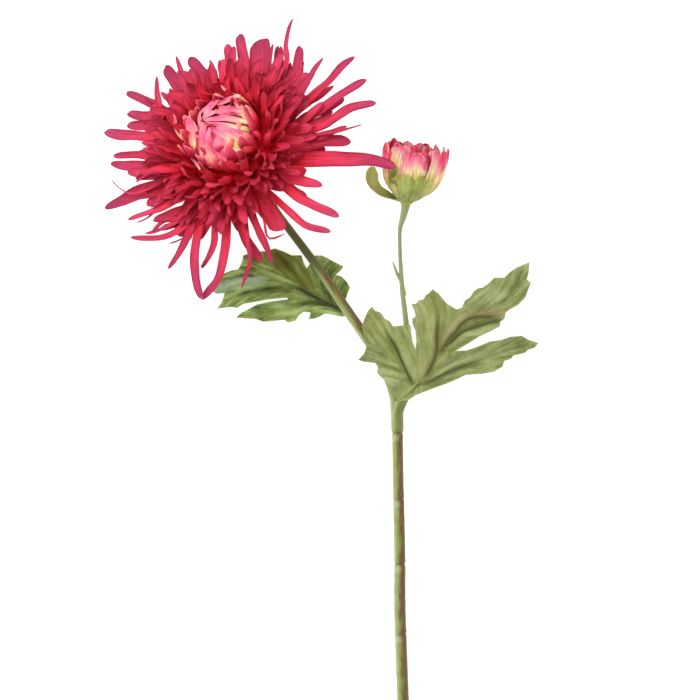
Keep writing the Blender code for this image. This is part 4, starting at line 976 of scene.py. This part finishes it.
def leafPlan(outline, ribs):
    # Plan points of a leaf, closest together along its ribs, their triangles, and the closed edge
    edge = []
    for a, b in zip(outline, np.roll(outline, -1, axis=0)):
        count = max(1, round(math.dist(a, b) / leaf["edgeStep"]))
        edge += [a + (b - a) * i / count for i in range(count)]
    closed = np.column_stack((edge + edge[:1], np.zeros(len(edge) + 1)))
    wanted = []
    for rib in ribs:
        path = smoothPath(rib, 1)[:, :2]
        run = unit(np.gradient(path, axis=0))
        aside = np.column_stack((-run[:, 1], run[:, 0]))
        wanted += [point for offset in leaf["besideRib"] for point in path + aside * offset]
    low, high, step = outline.min(axis=0), outline.max(axis=0), leaf["step"]
    for i, y in enumerate(np.arange(low[1], high[1], 0.866 * step)):
        wanted += [np.array((x + (i % 2) * step / 2, y)) for x in np.arange(low[0], high[0], step)]
    kept, cells = [], {}
    for point in wanted:
        column, row = (math.floor(v / leaf["cell"]) for v in point)
        near = [q for i in (-1, 0, 1) for j in (-1, 0, 1) for q in cells.get((column + i, row + j), ())]
        if all(math.dist(point, q) > leaf["apart"] for q in near):
            cells.setdefault((column, row), []).append(point)
            kept.append(point)
    kept = np.array(kept)
    kept = kept[insideOutline(kept, edge)]
    kept = kept[gapsTo(kept, closed)[0] > leaf["inset"]]
    flat = [Vector(p) for p in np.concatenate((edge, kept))]
    verts, _, faces, *_ = delaunay_2d_cdt(flat, [], [list(range(len(edge)))], 1, 0.0001)
    points = np.array([(v.x, v.y) for v in verts])
    corners = []
    for face in faces:
        a, b, c = (points[i] for i in face[:3])
        turn = (b[0] - a[0]) * (c[1] - a[1]) - (b[1] - a[1]) * (c[0] - a[0])
        corners.append(list(face) if turn > 0 else list(face)[::-1])
    return points, corners, closed


def ribMarks(points, ribs, looks):
    # Painted shade in the crease along each rib, a painted shade band on one side of it and a painted
    # highlight band on the other, a tinge, olive and the drop beside it; with the distances to the nearest
    # rib and along it
    found = []
    for rib in ribs:
        path = smoothPath(rib, 1)
        path[:, 2] = travelled(path[:, :2])
        found.append((*gapsTo(points, path), path[-1, 2]))
    gaps = np.array([gap for gap, *_ in found])
    ribGap, nearest = gaps.min(axis=0), gaps.argmin(axis=0)
    along = np.array([far for _, far, *_ in found])[nearest, np.arange(len(points))]
    line, shade, ribHighlight, tinge, dropped = np.zeros((5, len(points)))
    for number, ((gap, far, side, length), look) in enumerate(zip(found, looks)):
        dark, width, start, stop, shadeSide, drop, tinged, _ = look
        share = far / length
        shown = clipped((share - start) / 0.1 + 0.2) * clipped((stop - share) / 0.2)
        clear = clipped((np.delete(gaps, number, axis=0).min(axis=0) - gap) / 4 + 0.2)
        onSide = side == shadeSide
        # painted shade: a dark line in the crease along each rib
        line = np.maximum(line, dark * shown * bell(gap, width))
        # painted shade band beside the rib on its shaded side
        shade += dark * shown * clear * onSide * np.exp(-gap / 2.6)
        # painted highlight band beside the rib on the other side
        ribHighlight += dark * shown * clear * ~onSide * bell(gap - 2.2, 1.5)
        tinge = np.maximum(tinge, tinged * ~onSide * bell(gap, 4))
        dropped += drop * shown * clear * onSide * clipped(gap / 3)
    olive = np.array([look[-1] for look in looks])[nearest] * bell(ribGap, 8)
    return line, shade, ribHighlight, tinge, olive, dropped, ribGap, along, nearest


def leafPiece(name, node, outline, marked, material):
    ribs = [np.reshape(points, (-1, 3)) for _, *points in marked]
    points, corners, closed = leafPlan(np.reshape(outline, (-1, 2)), ribs)
    edgeGap = gapsTo(points, closed)[0]
    line, shade, ribHighlight, tinge, olive, dropped, ribGap, along, nearest = ribMarks(
        points, ribs, [look for look, *_ in marked])
    middle = np.column_stack((points, leafHeight(points, ribs, ribGap, edgeGap, along, dropped)))
    normals = np.zeros_like(middle)
    for face in corners:
        a, b, c = middle[face[:3]]
        normals[face] += np.cross(b - a, c - a)
    half = unit(normals) * np.where(edgeGap < 0.05, leaf["edge"], leaf["thickness"])[:, None] / 2
    size = len(middle)
    faces = [tuple(face) for face in corners] + [tuple(i + size for i in face[::-1]) for face in corners]
    used = dict.fromkeys((i, j) for face in corners for i, j in zip(face, face[1:] + face[:1]))
    faces += [(j, i, i + size, j + size) for i, j in used if (j, i) not in used]
    slant = leaf["slant"]
    marks = {
        "leafMap": (line, edgeGap, olive), "leafTone": (shade, ribHighlight, tinge),
        "leafFlow": (ribGap - slant * along, along + slant * ribGap, nearest * 9),
    }
    form = Form()
    form.add(np.concatenate((middle + half, middle - half)), faces,
             **{key: np.tile(np.stack(three, axis=1), (2, 1)) for key, three in marks.items()})
    makePiece(name, form, material, [node], 40)


def leafPaint(name, dark, mid, light, groove, olive, tinged, contrast):
    paint = Paint(name, 0.6, 0.1, 0.25)
    line, edgeGap, oliveShare = paint.mark("leafMap")
    shade, ribHighlight, tinge = paint.mark("leafTone")
    slant, along, number = paint.mark("leafFlow")
    where = paint.place()
    streak = paint.noise((slant * 0.55, along * 0.05, number), 1, 4, 0.6)
    blotch = paint.noise(where, 70, 3)
    fine = paint.noise(where, 700, 3, 0.6)
    mixed = (streak - 0.5) * contrast + (blotch - 0.5) * 0.6 + (fine - 0.5) * 0.15 + 0.5
    # painted highlight and painted shade beside the ribs move the colour up and down its ramp
    mixed = paint.maths("ADD", mixed, ribHighlight * 0.16 - shade * 0.14, clamp=True)
    body = paint.ramp(mixed, (0.36, dark), (0.5, mid), (0.66, light))
    body = paint.mix(oliveShare * (blotch + 0.2), body, olive)
    body = paint.mix(tinge * (streak + 0.25), body, tinged)
    # painted shade band beside the ribs, in the dark colour
    body = paint.mix(shade * 0.4, body, dark)
    # painted shade in the crease along each rib, in the groove colour
    body = paint.mix(line * (streak * 0.5 + 0.75), body, groove)
    body = paint.mix((1 - paint.between(edgeGap, 0, 0.7)) * 0.3, body, light)
    x, y, _ = paint.parts(where)
    weave = paint.sine(x * 9000) * paint.sine(y * 9000)
    height = weave * 0.1 + fine * 0.4 + streak * 1.6
    return paint.feed(colour=body, normal=paint.bump(height, 0.3, 0.7), roughness=fine * 0.2 + 0.5)


# the fourth colour of each leaf is the painted shade in the rib creases
oliveLeaf = leafPaint("oliveLeaf", (0.12, 0.145, 0.03), (0.215, 0.245, 0.085), (0.32, 0.35, 0.15),
                      (0.055, 0.06, 0.008), (0.2, 0.22, 0.03), (0.27, 0.21, 0.09), 0.7)
greenLeaf = leafPaint("greenLeaf", (0.075, 0.115, 0.02), (0.185, 0.26, 0.06), (0.35, 0.46, 0.15),
                      (0.028, 0.03, 0.006), (0.13, 0.135, 0.004), (0.36, 0.5, 0.36), 1.15)
leafPiece("rightLeaf", "leaf_right", leaf["right"], leaf["rightRibs"], oliveLeaf)
leafPiece("leftLeaf", "leaf_left", leaf["left"], leaf["leftRibs"], greenLeaf)


# Bract on the branch, a narrow blade between its own points

branchBract = Form()
path = smoothPath([(*p, w) for p, w in zip(stem["bract"], stem["bractWidths"])], 1)
tubeForm(branchBract, path, 12, lambda around, along: 0.45 + 0.55 * np.abs(np.cos(around)))
makePiece("branchBract", branchBract, branchGreen)


# Floor, light and camera, in metres

studio = {
    "floor": 8, "floorDrop": 0.0003, "floorColour": (0.93, 0.93, 0.93),
    "floorShade": (0.55, 0.55, 0.55), "floorGlow": 0.85,
    "sky": (1, 1, 1), "skyStrength": 0.76,
    "lamps": [((-0.7, 0.8, 1.6), 0.9, 25), ((0.9, -0.3, 1.3), 1.2, 6)],  # place, size and power
    "camera": (0.0146, 0.0205, 1.46), "lens": 150, "sensor": 36, "farthest": 10,
}
floorMesh = bpy.data.meshes.new("floor")
reach = studio["floor"] / 2
floorMesh.from_pydata([(-reach, -reach, 0), (reach, -reach, 0), (reach, reach, 0), (-reach, reach, 0)], [],
                      [(0, 1, 2, 3)])
floor = addObject("floor", floorMesh)
floor.location = (0, 0, -studio["floorDrop"])
floorPaint = Paint("paleFloor", 0.9, specular=0.1)
setInputs(floorPaint.shader, {
    "Base Color": opaque(studio["floorShade"]), "Emission Color": opaque(studio["floorColour"]),
    "Emission Strength": studio["floorGlow"],
})
floorMesh.materials.append(floorPaint.material)

world = bpy.data.worlds.new("studio")
world.use_nodes = True
setInputs(world.node_tree.nodes["Background"],
          {"Color": opaque(studio["sky"]), "Strength": studio["skyStrength"]})
bpy.context.scene.world = world
bpy.context.scene.view_settings.view_transform = "Standard"
for number, (place, size, power) in enumerate(studio["lamps"]):
    lamp = bpy.data.lights.new(f"softLamp{number}", "AREA")
    lamp.size = size
    lamp.energy = power
    hung = addObject(f"softLamp{number}", lamp)
    hung.location = place
    hung.rotation_euler = (-Vector(place)).to_track_quat("-Z", "Y").to_euler()

view = bpy.data.cameras.new("view")
view.lens = studio["lens"]
view.sensor_width = studio["sensor"]
view.clip_end = studio["farthest"]
camera = addObject("view", view)
camera.location = studio["camera"]
bpy.context.scene.camera = camera
print("studio ready")
